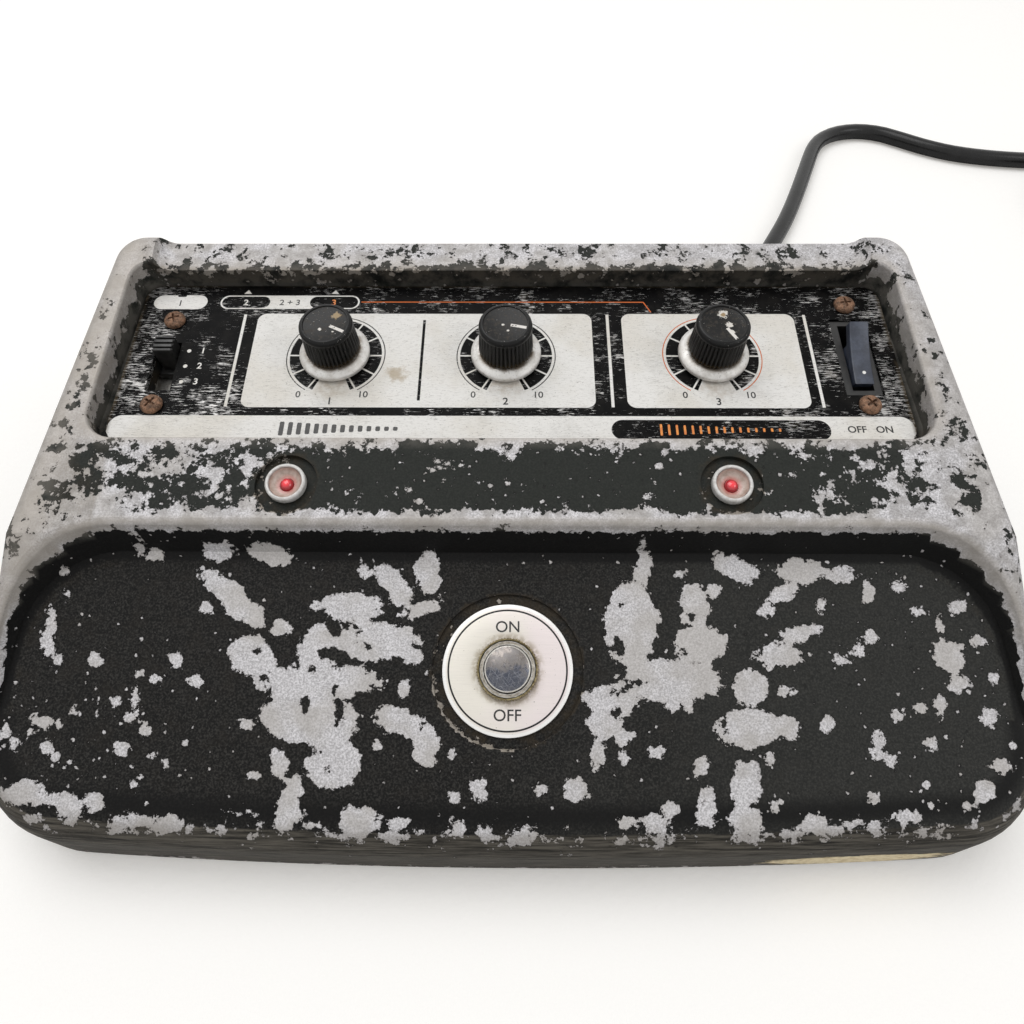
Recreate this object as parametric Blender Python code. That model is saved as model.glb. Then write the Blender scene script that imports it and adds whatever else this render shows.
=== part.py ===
"""Delay pedal: a mains powered floor pedal with a cast case, three dials and one footswitch.

Metres, +Z up. The floor is z = 0, the front faces -Y and the centre of the footprint is x = y = 0.
Four frames carry the pieces: the case itself, the tilted control panel, the ridge with the lamps,
and the tilted tread with the footswitch.
"""
import math

import bmesh
import bpy
import numpy as np
from mathutils import Matrix, Vector

MM = 0.001

# Clearances
SEAT_GAP = 0.3 * MM
RUNNING_GAP = 0.3 * MM
OVERRUN = 5.0 * MM
MERGE_DISTANCE = 0.001 * MM
ON_PLANE_TOLERANCE = 0.01 * MM
SHARP_ANGLE = math.radians(35.0)
UPRIGHT_FACE_SHARE = 0.1

# Case
CASE_FRONT_WIDTH = 264.0 * MM
CASE_TAPER = 34.0 * MM
CASE_DEPTH = 158.5 * MM
CASE_BOTTOM_Z = 4.0 * MM
CASE_WALL = 3.5 * MM
CASE_ROOF = 3.0 * MM
FRONT_BOW = 4.5 * MM
FRONT_CORNER_RADIUS = 24.0 * MM
REAR_CORNER_RADIUS = 9.0 * MM
RIM_EDGE_RADIUS = 4.0 * MM
TREAD_EDGE_RADIUS = 6.5 * MM
JACK_PROUD = 3.5 * MM

# Tilted planes of the case
PANEL_TILT = math.radians(8.0)
RIM_TILT = math.radians(12.8)
SHOULDER_TILT = math.radians(31.0)
TREAD_TILT = math.radians(19.0)

# Crest of the ridge, whose ends turn forward round the tread
CREST_Z = 56.0 * MM
CREST_FROM_REAR = 89.8 * MM
CREST_FROM_SIDE = 9.0 * MM
CREST_CORNER_RADIUS = 25.5 * MM
CREST_WALL_DRAFT = 2.0 * MM
CREST_WALL_SINK = 1.0 * MM
ARM_FLARE = 2.0 * MM
ARM_LENGTH = 40.0 * MM
ARM_END_SLANT = 8.0 * MM
ARM_END_RADIUS = 6.0 * MM
TREAD_WIDTH_SHARE = 0.9985
SHOULDER_FROM_CREST = 2.5 * MM

# Control panel and its recess
DIAL_ROW_FROM_REAR = 36.0 * MM
DIAL_ROW_Z = 61.0 * MM
PANEL_FROM_CHEEK = 0.55 * MM
PANEL_REAR = 26.0 * MM
PANEL_FRONT = -28.8 * MM
PANEL_THICKNESS = 1.5 * MM
PANEL_CORNER_RADIUS = 5.0 * MM
RECESS_FROM_SIDE = 6.2 * MM
RECESS_FLARE = 2.8 * MM
RECESS_REAR = 26.4 * MM
RECESS_FRONT = -30.0 * MM
RECESS_FRONT_CORNER_RADIUS = 8.0 * MM
RECESS_REAR_CORNER_RADIUS = 5.2 * MM
RECESS_LIP_RADIUS = 1.2 * MM
RECESS_LIP_SWEEP = math.radians(80.0)
BACK_RIM_HEIGHT = 6.0 * MM
EAR_WIDTH = 11.0 * MM
BACK_RIM_END_RADIUS = 5.0 * MM

# Dials, in the panel's frame
DIAL_WIDTH_SHARES = (-0.22725, -0.00508, 0.26282)
DIAL_NAMES = ("left", "middle", "right")
SHAFT_RADIUS = 3.0 * MM
SHAFT_TOP = 10.5 * MM
SHAFT_BOTTOM = -12.0 * MM
BUSH_WALL = 1.2 * MM
BUSH_TOP = 5.0 * MM
POT_RADIUS = 12.0 * MM
POT_DEPTH = 10.0 * MM
POT_LUG_WIDTH = 14.0 * MM
POT_LUG_LENGTH = 5.0 * MM
POT_LUG_THICKNESS = 2.0 * MM
POT_NUT_RADIUS = 6.5 * MM
POT_NUT_HEIGHT = 2.0 * MM
SKIRT_RADIUS = 9.8 * MM
SKIRT_LIFT = 0.8 * MM
SKIRT_EDGE_HEIGHT = 1.2 * MM
SKIRT_HEIGHT = 2.4 * MM
CAP_BASE_RADIUS = 7.6 * MM
CAP_TOP_RADIUS = 7.1 * MM
CAP_TOP = 13.5 * MM
CAP_RIM_HEIGHT = 1.9 * MM
CAP_CHAMFER = 0.5 * MM
CAP_INSET_RADIUS = 6.0 * MM
CAP_INSET_DEPTH = 0.4 * MM
FLUTE_DEPTH = 0.45 * MM
FLUTE_COUNT = 28

# Level slide switch, in the panel's frame, in one column with two screws
SIDE_COLUMN_INSET = 10.95 * MM
LEVEL_Y = -3.8 * MM
LEVEL_STEP = 5.4 * MM
LEVEL_SLOT_WIDTH = 7.0 * MM
SLIDER_WIDTH = 5.4 * MM
SLIDER_LENGTH = 5.2 * MM
SLIDER_PROUD = 3.4 * MM
SLIDER_RIB_DEPTH = 0.6 * MM
SLIDER_FOOT_HEIGHT = 2.0 * MM
SLIDER_FOOT_OVERHANG = 1.5 * MM
LEVEL_BODY_WALL = 2.0 * MM
LEVEL_BODY_HEIGHT = 9.0 * MM

# Power rocker, in the panel's frame, in the other column
POWER_SLOT_WIDTH = 10.5 * MM
POWER_SLOT_LENGTH = 26.7 * MM
POWER_BODY_DEPTH = 20.0 * MM
POWER_WELL_DEPTH = 13.0 * MM
POWER_SHELL_WALL = 1.6 * MM
POWER_COLLAR_SINK = 0.6 * MM
ROCKER_PIVOT_Y = 0.4 * MM
ROCKER_PIVOT_SINK = 3.0 * MM
ROCKER_WIDTH = 5.3 * MM
ROCKER_HALF_LENGTH = 9.2 * MM
ROCKER_END_HEIGHT = 6.5 * MM
ROCKER_DISH = 0.9 * MM
ROCKER_THICKNESS = 2.4 * MM
ROCKER_HUB_RADIUS = 3.6 * MM
ROCKER_REST_TILT = math.radians(15.2)

# Panel screws, in the panel's frame
PANEL_SCREW_REAR_LEFT_Y = 12.3 * MM
PANEL_SCREW_FRONT_LEFT_Y = -17.3 * MM
PANEL_SCREW_REAR_RIGHT_Y = 18.3 * MM
PANEL_SCREW_FRONT_RIGHT_Y = -17.0 * MM
PANEL_SCREW_HEAD_RADIUS = 3.0 * MM
PANEL_SCREW_HEAD_HEIGHT = 1.7 * MM
PANEL_SCREW_RADIUS = 1.5 * MM
PANEL_SCREW_LENGTH = 6.0 * MM
SCREW_CROSS_WIDTH = 0.9 * MM
SCREW_CROSS_LENGTH_SHARE = 1.25
SCREW_CROSS_DEPTH_SHARE = 0.6
SCREW_CROWN_RADIUS_SHARE = 0.62
SCREW_HEAD_EDGE_SHARE = 0.45
SCREW_HOLE_GAP = 0.3 * MM

# Indicator lamps in the ridge
LAMP_WIDTH_SHARE = 0.45528
LAMP_FROM_CREST = 10.5 * MM
LAMP_POCKET_RADIUS = 7.9 * MM
LAMP_POCKET_DEPTH = 1.3 * MM
BEZEL_RADIUS = 5.1 * MM
BEZEL_BORE_RADIUS = 2.1 * MM
BEZEL_RISE = 0.9 * MM
BEZEL_DISH = 0.7 * MM
BEZEL_BARREL_RADIUS = 3.6 * MM
BEZEL_BARREL_LENGTH = 5.0 * MM
LAMP_RADIUS = 1.75 * MM
LAMP_BODY_LENGTH = 7.0 * MM
LAMP_DOME_SHARES = ((0.8, 0.45), (0.3, 0.7))

# Footswitch in the tread
FOOTSWITCH_DEPTH_SHARE = 0.5706
FOOTSWITCH_Z = 35.9 * MM
DISC_RADIUS = 16.0 * MM
DISC_THICKNESS = 0.8 * MM
DISC_POCKET_RADIUS = 18.6 * MM
DISC_POCKET_DEPTH = 0.8 * MM
PLUNGER_RADIUS = 5.6 * MM
PLUNGER_TOP = 4.4 * MM
PLUNGER_DOME = 0.9 * MM
PLUNGER_TRAVEL = 3.0 * MM
PLUNGER_SHANK = 8.0 * MM
PLUNGER_DOME_SHARES = ((0.86, 0.5), (0.5, 1.0))
SWITCH_BUSH_WALL = 0.9 * MM
SWITCH_BUSH_TOP = 2.2 * MM
SWITCH_NUT_RADIUS = 7.7 * MM
SWITCH_NUT_HEIGHT = 2.4 * MM
SWITCH_BODY_WIDTH = 18.0 * MM
SWITCH_BODY_LENGTH = 26.0 * MM
SWITCH_BODY_DEPTH = 15.0 * MM

# Jacks in the back wall
JACK_FROM_SIDE = 18.0 * MM
JACK_STEPS = (("input", 0.0 * MM), ("output_direct", 21.0 * MM), ("output_mixed", 43.0 * MM))
JACK_Z = 32.0 * MM
JACK_BORE_RADIUS = 3.3 * MM
JACK_BORE_DEPTH = 30.0 * MM
JACK_BUSH_RADIUS = 4.7 * MM
JACK_BODY_WIDTH = 15.0 * MM
JACK_BODY_HEIGHT = 14.0 * MM
JACK_BODY_LENGTH = 28.0 * MM
JACK_NUT_RADIUS = 7.0 * MM
JACK_NUT_HEIGHT = 2.2 * MM

# Underside
PLATE_THICKNESS = 1.5 * MM
FOOT_RADIUS = 10.0 * MM
FOOT_COUNTERBORE_RADIUS = 4.6 * MM
FOOT_WEB = 1.5 * MM
FOOT_EDGE = 0.8 * MM
FOOT_SCREW_RADIUS = 2.0 * MM
FOOT_SCREW_HEAD_RADIUS = 3.8 * MM
FOOT_SCREW_HEAD_HEIGHT = 1.4 * MM
FOOT_SCREW_LENGTH = 12.0 * MM
BOSS_RADIUS = 5.0 * MM
BOSS_TOP_Z = 30.0 * MM
BOSS_LIFT = 0.2 * MM
FOOT_INSET_X = 16.0 * MM
FOOT_INSET_FRONT = 20.0 * MM
FOOT_INSET_REAR = 40.0 * MM

# Inside
BOARD_FROM_LEFT = 25.0 * MM
BOARD_FROM_RIGHT = 77.0 * MM
BOARD_DEPTH = 70.0 * MM
BOARD_THICKNESS = 1.6 * MM
BOARD_FROM_REAR = 46.0 * MM
POST_RADIUS = 3.0 * MM
POST_HEIGHT = 7.0 * MM
POST_INSET = 5.0 * MM
CHIP_LENGTH = 20.0 * MM
CHIP_WIDTH = 7.5 * MM
CHIP_HEIGHT = 4.0 * MM
TRANSFORMER_FROM_RIGHT = 47.0 * MM
TRANSFORMER_FROM_REAR = 46.0 * MM
TRANSFORMER_WIDTH = 44.0 * MM
TRANSFORMER_DEPTH = 36.0 * MM
TRANSFORMER_HEIGHT = 24.0 * MM
COIL_WIDTH = 28.0 * MM
COIL_BULGE = 5.0 * MM
TRANSFORMER_FLANGE = 3.0 * MM

# Cord
CORD_DIAMETER = 7.2 * MM
CORD_LENGTH = 1800.0 * MM
CORD_STEP = 16.0 * MM
GLAND_FROM_RIGHT = 24.0 * MM
GLAND_Z = 17.0 * MM
GLAND_FLANGE_RADIUS = 7.5 * MM
GLAND_FLANGE_THICKNESS = 2.0 * MM
GLAND_NECK_RADIUS = 5.5 * MM
GLAND_TIP_RADIUS = 4.6 * MM
GLAND_LENGTH = 24.0 * MM
GLAND_INSIDE = 9.0 * MM
COIL_TURNS_IN = 2.25
COIL_TURNS_CLIMBING = 0.5
COIL_TURNS_OUT = 2.5
COIL_CORDS_ACROSS = 12
COIL_GAP = 0.7 * MM
COIL_POINTS_PER_TURN = 24
PLUG_LENGTH = 34.0 * MM
PLUG_WIDTH = 25.0 * MM
PLUG_HEIGHT = 16.0 * MM
PLUG_NECK_LENGTH = 14.0 * MM
PLUG_NECK_RADIUS = 5.2 * MM
PLUG_NECK_FLARE_SHARE = 1.15
PLUG_NECK_REACH_SHARE = 1.5
PLUG_CORNER_SHARE = 0.3
PLUG_SECTION_SHARES = ((0.62, 0.8, 0.0), (1.0, 1.0, 0.3), (1.0, 1.0, 0.85), (0.92, 0.88, 1.0))
BLADE_LENGTH = 17.0 * MM
BLADE_WIDTH = 6.3 * MM
BLADE_THICKNESS = 1.5 * MM
BLADE_SPACING = 12.7 * MM

# Places that follow from the sizes above
FRONT_Y = -(CASE_DEPTH + JACK_PROUD) / 2
REAR_Y = FRONT_Y + CASE_DEPTH
DIAL_ROW_Y = REAR_Y - DIAL_ROW_FROM_REAR
CREST_Y = REAR_Y - CREST_FROM_REAR
FOOTSWITCH_Y = FRONT_Y + (CREST_Y - FRONT_Y) * FOOTSWITCH_DEPTH_SHARE
CASE_REAR_WIDTH = CASE_FRONT_WIDTH - CASE_TAPER
REAR_SIDE_X = CASE_REAR_WIDTH / 2
CREST_HALF_WIDTH = CASE_FRONT_WIDTH / 2 - CREST_FROM_SIDE
RECESS_REAR_HALF_WIDTH = REAR_SIDE_X - RECESS_FROM_SIDE
RECESS_FRONT_HALF_WIDTH = RECESS_REAR_HALF_WIDTH + RECESS_FLARE
BACK_RIM_HALF_WIDTH = REAR_SIDE_X - EAR_WIDTH
PANEL_WIDTH = 2 * (RECESS_REAR_HALF_WIDTH - PANEL_FROM_CHEEK)
DIAL_X = tuple(PANEL_WIDTH * share for share in DIAL_WIDTH_SHARES)
POWER_X = PANEL_WIDTH / 2 - SIDE_COLUMN_INSET
LEVEL_X = -POWER_X
PANEL_SCREWS = (
    ("rear_left", LEVEL_X, PANEL_SCREW_REAR_LEFT_Y),
    ("front_left", LEVEL_X, PANEL_SCREW_FRONT_LEFT_Y),
    ("rear_right", POWER_X, PANEL_SCREW_REAR_RIGHT_Y),
    ("front_right", POWER_X, PANEL_SCREW_FRONT_RIGHT_Y),
)
LAMP_X = CREST_HALF_WIDTH * LAMP_WIDTH_SHARE
JACK_PLACES = tuple((name, JACK_FROM_SIDE + step - REAR_SIDE_X) for name, step in JACK_STEPS)
BOARD_WIDTH = CASE_REAR_WIDTH - BOARD_FROM_LEFT - BOARD_FROM_RIGHT
BOARD_X = BOARD_FROM_LEFT + BOARD_WIDTH / 2 - REAR_SIDE_X
TRANSFORMER_X = REAR_SIDE_X - TRANSFORMER_FROM_RIGHT
GLAND_X = REAR_SIDE_X - GLAND_FROM_RIGHT
GLAND_TIP_Y = REAR_Y + GLAND_LENGTH + SEAT_GAP
CORD_RADIUS = CORD_DIAMETER / 2

# The cord's route to the coil, across and back from the strain relief's tip and up from the floor
CORD_ROUTE = (
    (0.0 * MM, 0.0 * MM, 17.0 * MM),
    (0.0 * MM, 8.2 * MM, 17.0 * MM),
    (0.2 * MM, 16.2 * MM, 16.4 * MM),
    (2.5 * MM, 28.2 * MM, 12.0 * MM),
    (7.5 * MM, 41.2 * MM, 6.2 * MM),
    (15.5 * MM, 56.2 * MM, 3.7 * MM),
    (25.5 * MM, 73.7 * MM, 3.7 * MM),
    (36.0 * MM, 93.2 * MM, 3.7 * MM),
    (46.0 * MM, 115.2 * MM, 3.7 * MM),
    (55.0 * MM, 136.7 * MM, 3.7 * MM),
    (62.5 * MM, 154.2 * MM, 3.7 * MM),
    (68.7 * MM, 163.4 * MM, 3.7 * MM),
    (77.9 * MM, 169.6 * MM, 3.7 * MM),
    (89.2 * MM, 171.9 * MM, 3.7 * MM),
    (100.1 * MM, 169.8 * MM, 3.7 * MM),
    (109.5 * MM, 164.0 * MM, 3.7 * MM),
    (120.0 * MM, 156.7 * MM, 3.7 * MM),
    (133.0 * MM, 150.2 * MM, 3.7 * MM),
    (150.0 * MM, 145.8 * MM, 3.7 * MM),
    (169.0 * MM, 143.4 * MM, 3.7 * MM),
    (192.0 * MM, 142.2 * MM, 3.7 * MM),
    (211.0 * MM, 142.2 * MM, 3.7 * MM),
)


def clear_scene():
    """Start from an empty scene."""
    for old in list(bpy.data.objects):
        bpy.data.objects.remove(old, do_unlink=True)


def finish(name, colour, roughness, metallic=0.0):
    """One Principled material."""
    material = bpy.data.materials.new(name)
    material.use_nodes = True
    shader = material.node_tree.nodes["Principled BSDF"]
    shader.inputs["Base Color"].default_value = (*colour, 1.0)
    shader.inputs["Roughness"].default_value = roughness
    shader.inputs["Metallic"].default_value = metallic
    return material


FINISHES = {
    "paint": ((0.030, 0.030, 0.031), 0.62, 0.0),
    "panel": ((0.045, 0.044, 0.043), 0.45, 0.3),
    "steel": ((0.50, 0.49, 0.47), 0.40, 1.0),
    "rust": ((0.24, 0.12, 0.07), 0.75, 0.3),
    "black_plastic": ((0.018, 0.018, 0.019), 0.35, 0.0),
    "aluminium": ((0.70, 0.69, 0.67), 0.38, 1.0),
    "brass": ((0.48, 0.40, 0.26), 0.45, 1.0),
    "chrome": ((0.60, 0.60, 0.61), 0.16, 1.0),
    "lens": ((0.62, 0.60, 0.56), 0.30, 0.0),
    "lamp_red": ((0.45, 0.01, 0.02), 0.25, 0.0),
    "rocker": ((0.035, 0.045, 0.065), 0.40, 0.0),
    "rubber": ((0.022, 0.022, 0.022), 0.80, 0.0),
    "cord": ((0.014, 0.014, 0.015), 0.42, 0.0),
    "board": ((0.22, 0.14, 0.05), 0.55, 0.0),
    "iron": ((0.16, 0.16, 0.17), 0.55, 0.8),
}


def dress(item, finish_name):
    """Give an object its own material."""
    colour, roughness, metallic = FINISHES[finish_name]
    item.data.materials.clear()
    item.data.materials.append(finish(f"{item.name}_{finish_name}", colour, roughness, metallic))


def place(item, frame=None, at=(0.0, 0.0, 0.0)):
    """Put an object at a point of a frame."""
    if frame is not None:
        item.parent = frame
    item.location = at
    return item


def solid(name, mesh_builder, finish_name=None, frame=None, at=(0.0, 0.0, 0.0)):
    """Turn a bmesh into an object; with no finish it is a cutter or a lump to be joined."""
    bmesh.ops.remove_doubles(mesh_builder, verts=mesh_builder.verts, dist=MERGE_DISTANCE)
    bmesh.ops.recalc_face_normals(mesh_builder, faces=mesh_builder.faces)
    mesh = bpy.data.meshes.new(name)
    mesh_builder.to_mesh(mesh)
    mesh_builder.free()
    item = bpy.data.objects.new(name, mesh)
    bpy.context.scene.collection.objects.link(item)
    if finish_name is None:
        item.hide_render = True
        item.display_type = "WIRE"
    else:
        dress(item, finish_name)
        mesh.shade_smooth()
        mesh.set_sharp_from_angle(angle=SHARP_ANGLE)
    return place(item, frame, at)


def boolean(item, other, operation):
    """Join or cut one object with another."""
    step = item.modifiers.new(f"{operation.lower()}_{other.name}", "BOOLEAN")
    step.operation = operation
    step.solver = "EXACT"
    step.object = other


def cut(item, other):
    """Cut one object with another."""
    boolean(item, other, "DIFFERENCE")


def join(item, other):
    """Join a lump to an object."""
    boolean(item, other, "UNION")


def rings(ring_list, cap_ends=True, close=False):
    """Skin rings of points that all have the same count."""
    skin = bmesh.new()
    rows = []
    for ring in ring_list:
        rows.append([skin.verts.new(point) for point in ring])
    pairs = list(zip(rows, rows[1:]))
    if close:
        pairs.append((rows[-1], rows[0]))
    for lower, upper in pairs:
        count = len(lower)
        for index in range(count):
            following = (index + 1) % count
            skin.faces.new((lower[index], lower[following], upper[following], upper[index]))
    if cap_ends and not close:
        skin.faces.new(rows[0])
        skin.faces.new(rows[-1])
    return skin


def prism(outline, low, high):
    """Stand an outline up between two heights, each a number or a function of x and y."""
    def height(level, point):
        return level(*point) if callable(level) else level
    return rings([[(x, y, height(level, (x, y))) for x, y in outline] for level in (low, high)])


def block(size, centre=(0.0, 0.0, 0.0)):
    """A box by its size and centre."""
    box = bmesh.new()
    matrix = Matrix.Translation(centre) @ Matrix.Diagonal((*size, 1.0))
    bmesh.ops.create_cube(box, size=1.0, matrix=matrix)
    return box


def circle(radius, height, count, centre=(0.0, 0.0)):
    """Points of a level circle."""
    angles = [2 * math.pi * index / count for index in range(count)]
    return [(centre[0] + radius * math.cos(a), centre[1] + radius * math.sin(a), height) for a in angles]


def turned(profile, count=24, close=False):
    """Turn a profile of (radius, height) about the Z axis."""
    return rings([circle(radius, height, count) for radius, height in profile], close=close)


def rounded(corners, radii, count):
    """A closed outline whose corners are arcs; a radius of zero leaves a corner sharp."""
    outline = []
    total = len(corners)
    for index, (corner, radius) in enumerate(zip(corners, radii)):
        here = Vector(corner)
        if radius == 0.0:
            outline.append(tuple(here))
            continue
        before = (Vector(corners[index - 1]) - here).normalized()
        after = (Vector(corners[(index + 1) % total]) - here).normalized()
        half_angle = before.angle(after) / 2
        middle = here + (before + after).normalized() * (radius / math.sin(half_angle))
        start = here + before * (radius / math.tan(half_angle)) - middle
        end = here + after * (radius / math.tan(half_angle)) - middle
        sweep = start.angle_signed(end)
        for step in range(count + 1):
            arm = start.copy()
            arm.rotate(Matrix.Rotation(-sweep * step / count, 2))
            outline.append(tuple(middle + arm))
    return outline


def offset(outline, distance):
    """Move a closed anticlockwise outline outward, or inward when the distance is negative."""
    moved = []
    total = len(outline)
    for index in range(total):
        here = Vector(outline[index])
        before = (here - Vector(outline[index - 1])).normalized()
        after = (Vector(outline[(index + 1) % total]) - here).normalized()
        normal_before = Vector((before.y, -before.x))
        normal_after = Vector((after.y, -after.x))
        miter = (normal_before + normal_after).normalized()
        moved.append(tuple(here + miter * (distance / max(miter.dot(normal_before), 0.5))))
    return moved


def plane(y, z, tilt):
    """Height over the floor of a plane that rises to the back."""
    slope = math.tan(tilt)
    return lambda _x, at_y: z + (at_y - y) * slope


RIM_PLANE = plane(CREST_Y, CREST_Z, RIM_TILT)
TREAD_PLANE = plane(FOOTSWITCH_Y, FOOTSWITCH_Z, TREAD_TILT)
SHOULDER_Y = CREST_Y - SHOULDER_FROM_CREST
SHOULDER_PLANE = plane(SHOULDER_Y, RIM_PLANE(0.0, SHOULDER_Y), SHOULDER_TILT)


def case_half_width(y):
    """Half of the case's width at a depth."""
    share = (y - FRONT_Y) / CASE_DEPTH
    return (CASE_FRONT_WIDTH + (CASE_REAR_WIDTH - CASE_FRONT_WIDTH) * share) / 2


def case_outline():
    """The case from above, anticlockwise: bowed front, tapered sides, straight back."""
    bow_count = 6
    side_y = FRONT_Y + FRONT_BOW
    corners = [(-CASE_FRONT_WIDTH / 2, side_y)]
    radii = [FRONT_CORNER_RADIUS]
    for index in range(1, bow_count):
        share = 2 * index / bow_count - 1
        corners.append((share * CASE_FRONT_WIDTH / 2, FRONT_Y + FRONT_BOW * share * share))
        radii.append(0.0)
    corners += [(CASE_FRONT_WIDTH / 2, side_y), (CASE_REAR_WIDTH / 2, REAR_Y), (-CASE_REAR_WIDTH / 2, REAR_Y)]
    radii += [FRONT_CORNER_RADIUS, REAR_CORNER_RADIUS, REAR_CORNER_RADIUS]
    return rounded(corners, radii, 6)


def slice_top(body, height_at, tilt):
    """Cut away all that stands above a plane and close the cut."""
    normal = Vector((0.0, -math.sin(tilt), math.cos(tilt)))
    parts = body.verts[:] + body.edges[:] + body.faces[:]
    result = bmesh.ops.bisect_plane(
        body, geom=parts, plane_co=(0.0, 0.0, height_at(0.0, 0.0)), plane_no=normal, clear_outer=True)
    rim = [part for part in result["geom_cut"] if isinstance(part, bmesh.types.BMEdge)]
    bmesh.ops.contextual_create(body, geom=rim)


def round_top(body, radius, is_top_edge):
    """Round the edges of the roof."""
    bmesh.ops.recalc_face_normals(body, faces=body.faces)
    body.normal_update()
    edges = [edge for edge in body.edges if is_top_edge(edge)]
    bmesh.ops.bevel(
        body, geom=edges, offset=radius, offset_type="OFFSET", segments=4, profile=0.5,
        affect="EDGES", clamp_overlap=True)


def on_plane(point, height_at):
    """Whether a point lies on a plane."""
    return abs(point.z - height_at(point.x, point.y)) < ON_PLANE_TOLERANCE


def case_block():
    """The outer form of the upper case: a prism under the rim and shoulder planes."""
    body = prism(case_outline(), CASE_BOTTOM_Z, CREST_Z * 2)
    slice_top(body, RIM_PLANE, RIM_TILT)
    slice_top(body, SHOULDER_PLANE, SHOULDER_TILT)

    def outer_top(edge):
        ends = [vert.co for vert in edge.verts]
        rim = all(on_plane(co, RIM_PLANE) for co in ends)
        shoulder = all(on_plane(co, SHOULDER_PLANE) for co in ends)
        return rim != shoulder and any(abs(face.normal.z) < UPRIGHT_FACE_SHARE for face in edge.link_faces)

    round_top(body, RIM_EDGE_RADIUS, outer_top)
    return body


def tread_block():
    """The outer form of the lower case in front: a prism under the tread plane."""
    outline = [(x * TREAD_WIDTH_SHARE, y) for x, y in case_outline() if y < CREST_Y]
    rear_y = CREST_Y + CREST_CORNER_RADIUS
    rear_reach = case_half_width(rear_y) * TREAD_WIDTH_SHARE
    right = max(range(len(outline)), key=lambda index: (outline[index][0] > 0, outline[index][1]))
    rear = [(rear_reach, rear_y), (-rear_reach, rear_y)]
    outline = outline[:right + 1] + rear + outline[right + 1:]
    body = prism(outline, CASE_BOTTOM_Z, TREAD_PLANE)

    def outer_top(edge):
        ends = [vert.co for vert in edge.verts]
        return all(on_plane(co, TREAD_PLANE) for co in ends) and any(co.y < CREST_Y for co in ends)

    round_top(body, TREAD_EDGE_RADIUS, outer_top)
    return body


def tread_cutter():
    """All that lies in front of the crest, cut from the upper case down to its bottom."""
    reach = CREST_HALF_WIDTH
    front = FRONT_Y - 2 * OVERRUN
    outside = CASE_FRONT_WIDTH / 2 + OVERRUN
    arm_end = CREST_Y - ARM_LENGTH
    right = [(outside, front), (outside, arm_end - ARM_END_SLANT), (reach + ARM_FLARE, arm_end), (reach, CREST_Y)]
    radii = [0.0, 0.0, ARM_END_RADIUS, CREST_CORNER_RADIUS]
    corners = right + [(-x, y) for x, y in reversed(right)]
    outline = rounded(corners, radii + radii[::-1], 10)
    foot_outline = offset(outline, -CREST_WALL_DRAFT)
    below = CASE_BOTTOM_Z - OVERRUN
    foot = [(x, y, below) for x, y in foot_outline]
    wall_foot = [(x, y, TREAD_PLANE(x, y) - CREST_WALL_SINK) for x, y in foot_outline]
    crest = [(x, y, max(RIM_PLANE(x, y), TREAD_PLANE(x, y) + OVERRUN)) for x, y in outline]
    top = [(x, y, CREST_Z * 2) for x, y in outline]
    return rings([foot, wall_foot, crest, top])


def recess_outline(grow=0.0):
    """The panel's recess in the panel's frame, anticlockwise."""
    corners = [
        (-RECESS_FRONT_HALF_WIDTH, RECESS_FRONT), (RECESS_FRONT_HALF_WIDTH, RECESS_FRONT),
        (RECESS_REAR_HALF_WIDTH, RECESS_REAR), (-RECESS_REAR_HALF_WIDTH, RECESS_REAR)]
    radii = [RECESS_FRONT_CORNER_RADIUS] * 2 + [RECESS_REAR_CORNER_RADIUS] * 2
    return offset(rounded(corners, radii, 5), grow)


def rim_height_in_panel(y):
    """Height of the rim plane over the panel, at a depth in the panel's frame."""
    over_dials = RIM_PLANE(0.0, DIAL_ROW_Y) - DIAL_ROW_Z
    return over_dials / math.cos(PANEL_TILT) + y * math.tan(RIM_TILT - PANEL_TILT)


def recess_cutter():
    """The recess, with a rounded lip where it meets the rim."""
    floor = -PANEL_THICKNESS - SEAT_GAP
    ring_list = [[(x, y, floor) for x, y in recess_outline()]]
    steps = 4
    for step in range(steps + 1):
        angle = RECESS_LIP_SWEEP * step / steps
        spread = RECESS_LIP_RADIUS * (1 - math.cos(angle))
        drop = RECESS_LIP_RADIUS * (1 - math.sin(angle))
        ring_list.append([(x, y, rim_height_in_panel(y) - drop) for x, y in recess_outline(spread)])
    top_outline = recess_outline(2 * RECESS_LIP_RADIUS)
    ring_list.append([(x, y, rim_height_in_panel(y) + 2 * OVERRUN) for x, y in top_outline])
    return rings(ring_list)


def back_rim_cutter():
    """The low back rim between the two ears, with rounded ends."""
    high = BACK_RIM_HEIGHT + OVERRUN * 3
    width = BACK_RIM_HALF_WIDTH
    corners = [(-width, BACK_RIM_HEIGHT), (width, BACK_RIM_HEIGHT), (width, high), (-width, high)]
    profile = rounded(corners, [BACK_RIM_END_RADIUS, BACK_RIM_END_RADIUS, 0.0, 0.0], 4)
    rear = DIAL_ROW_FROM_REAR + OVERRUN
    front = RECESS_REAR - OVERRUN
    return rings([[(x, front, z) for x, z in profile], [(x, rear, z) for x, z in profile]])


def frame_at(name, y, z, tilt):
    """An empty that carries the pieces of one tilted face."""
    frame = bpy.data.objects.new(name, None)
    bpy.context.scene.collection.objects.link(frame)
    frame.location = (0.0, y, z)
    frame.rotation_euler = (tilt, 0.0, 0.0)
    return frame


def foot_places():
    """Names and places of the four feet."""
    front_y = FRONT_Y + FOOT_INSET_FRONT
    rear_y = REAR_Y - FOOT_INSET_REAR
    places = []
    for depth_name, y in (("front", front_y), ("rear", rear_y)):
        reach = case_half_width(y) - FOOT_INSET_X
        places += [(f"{depth_name}_left", -reach, y), (f"{depth_name}_right", reach, y)]
    return places


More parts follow.
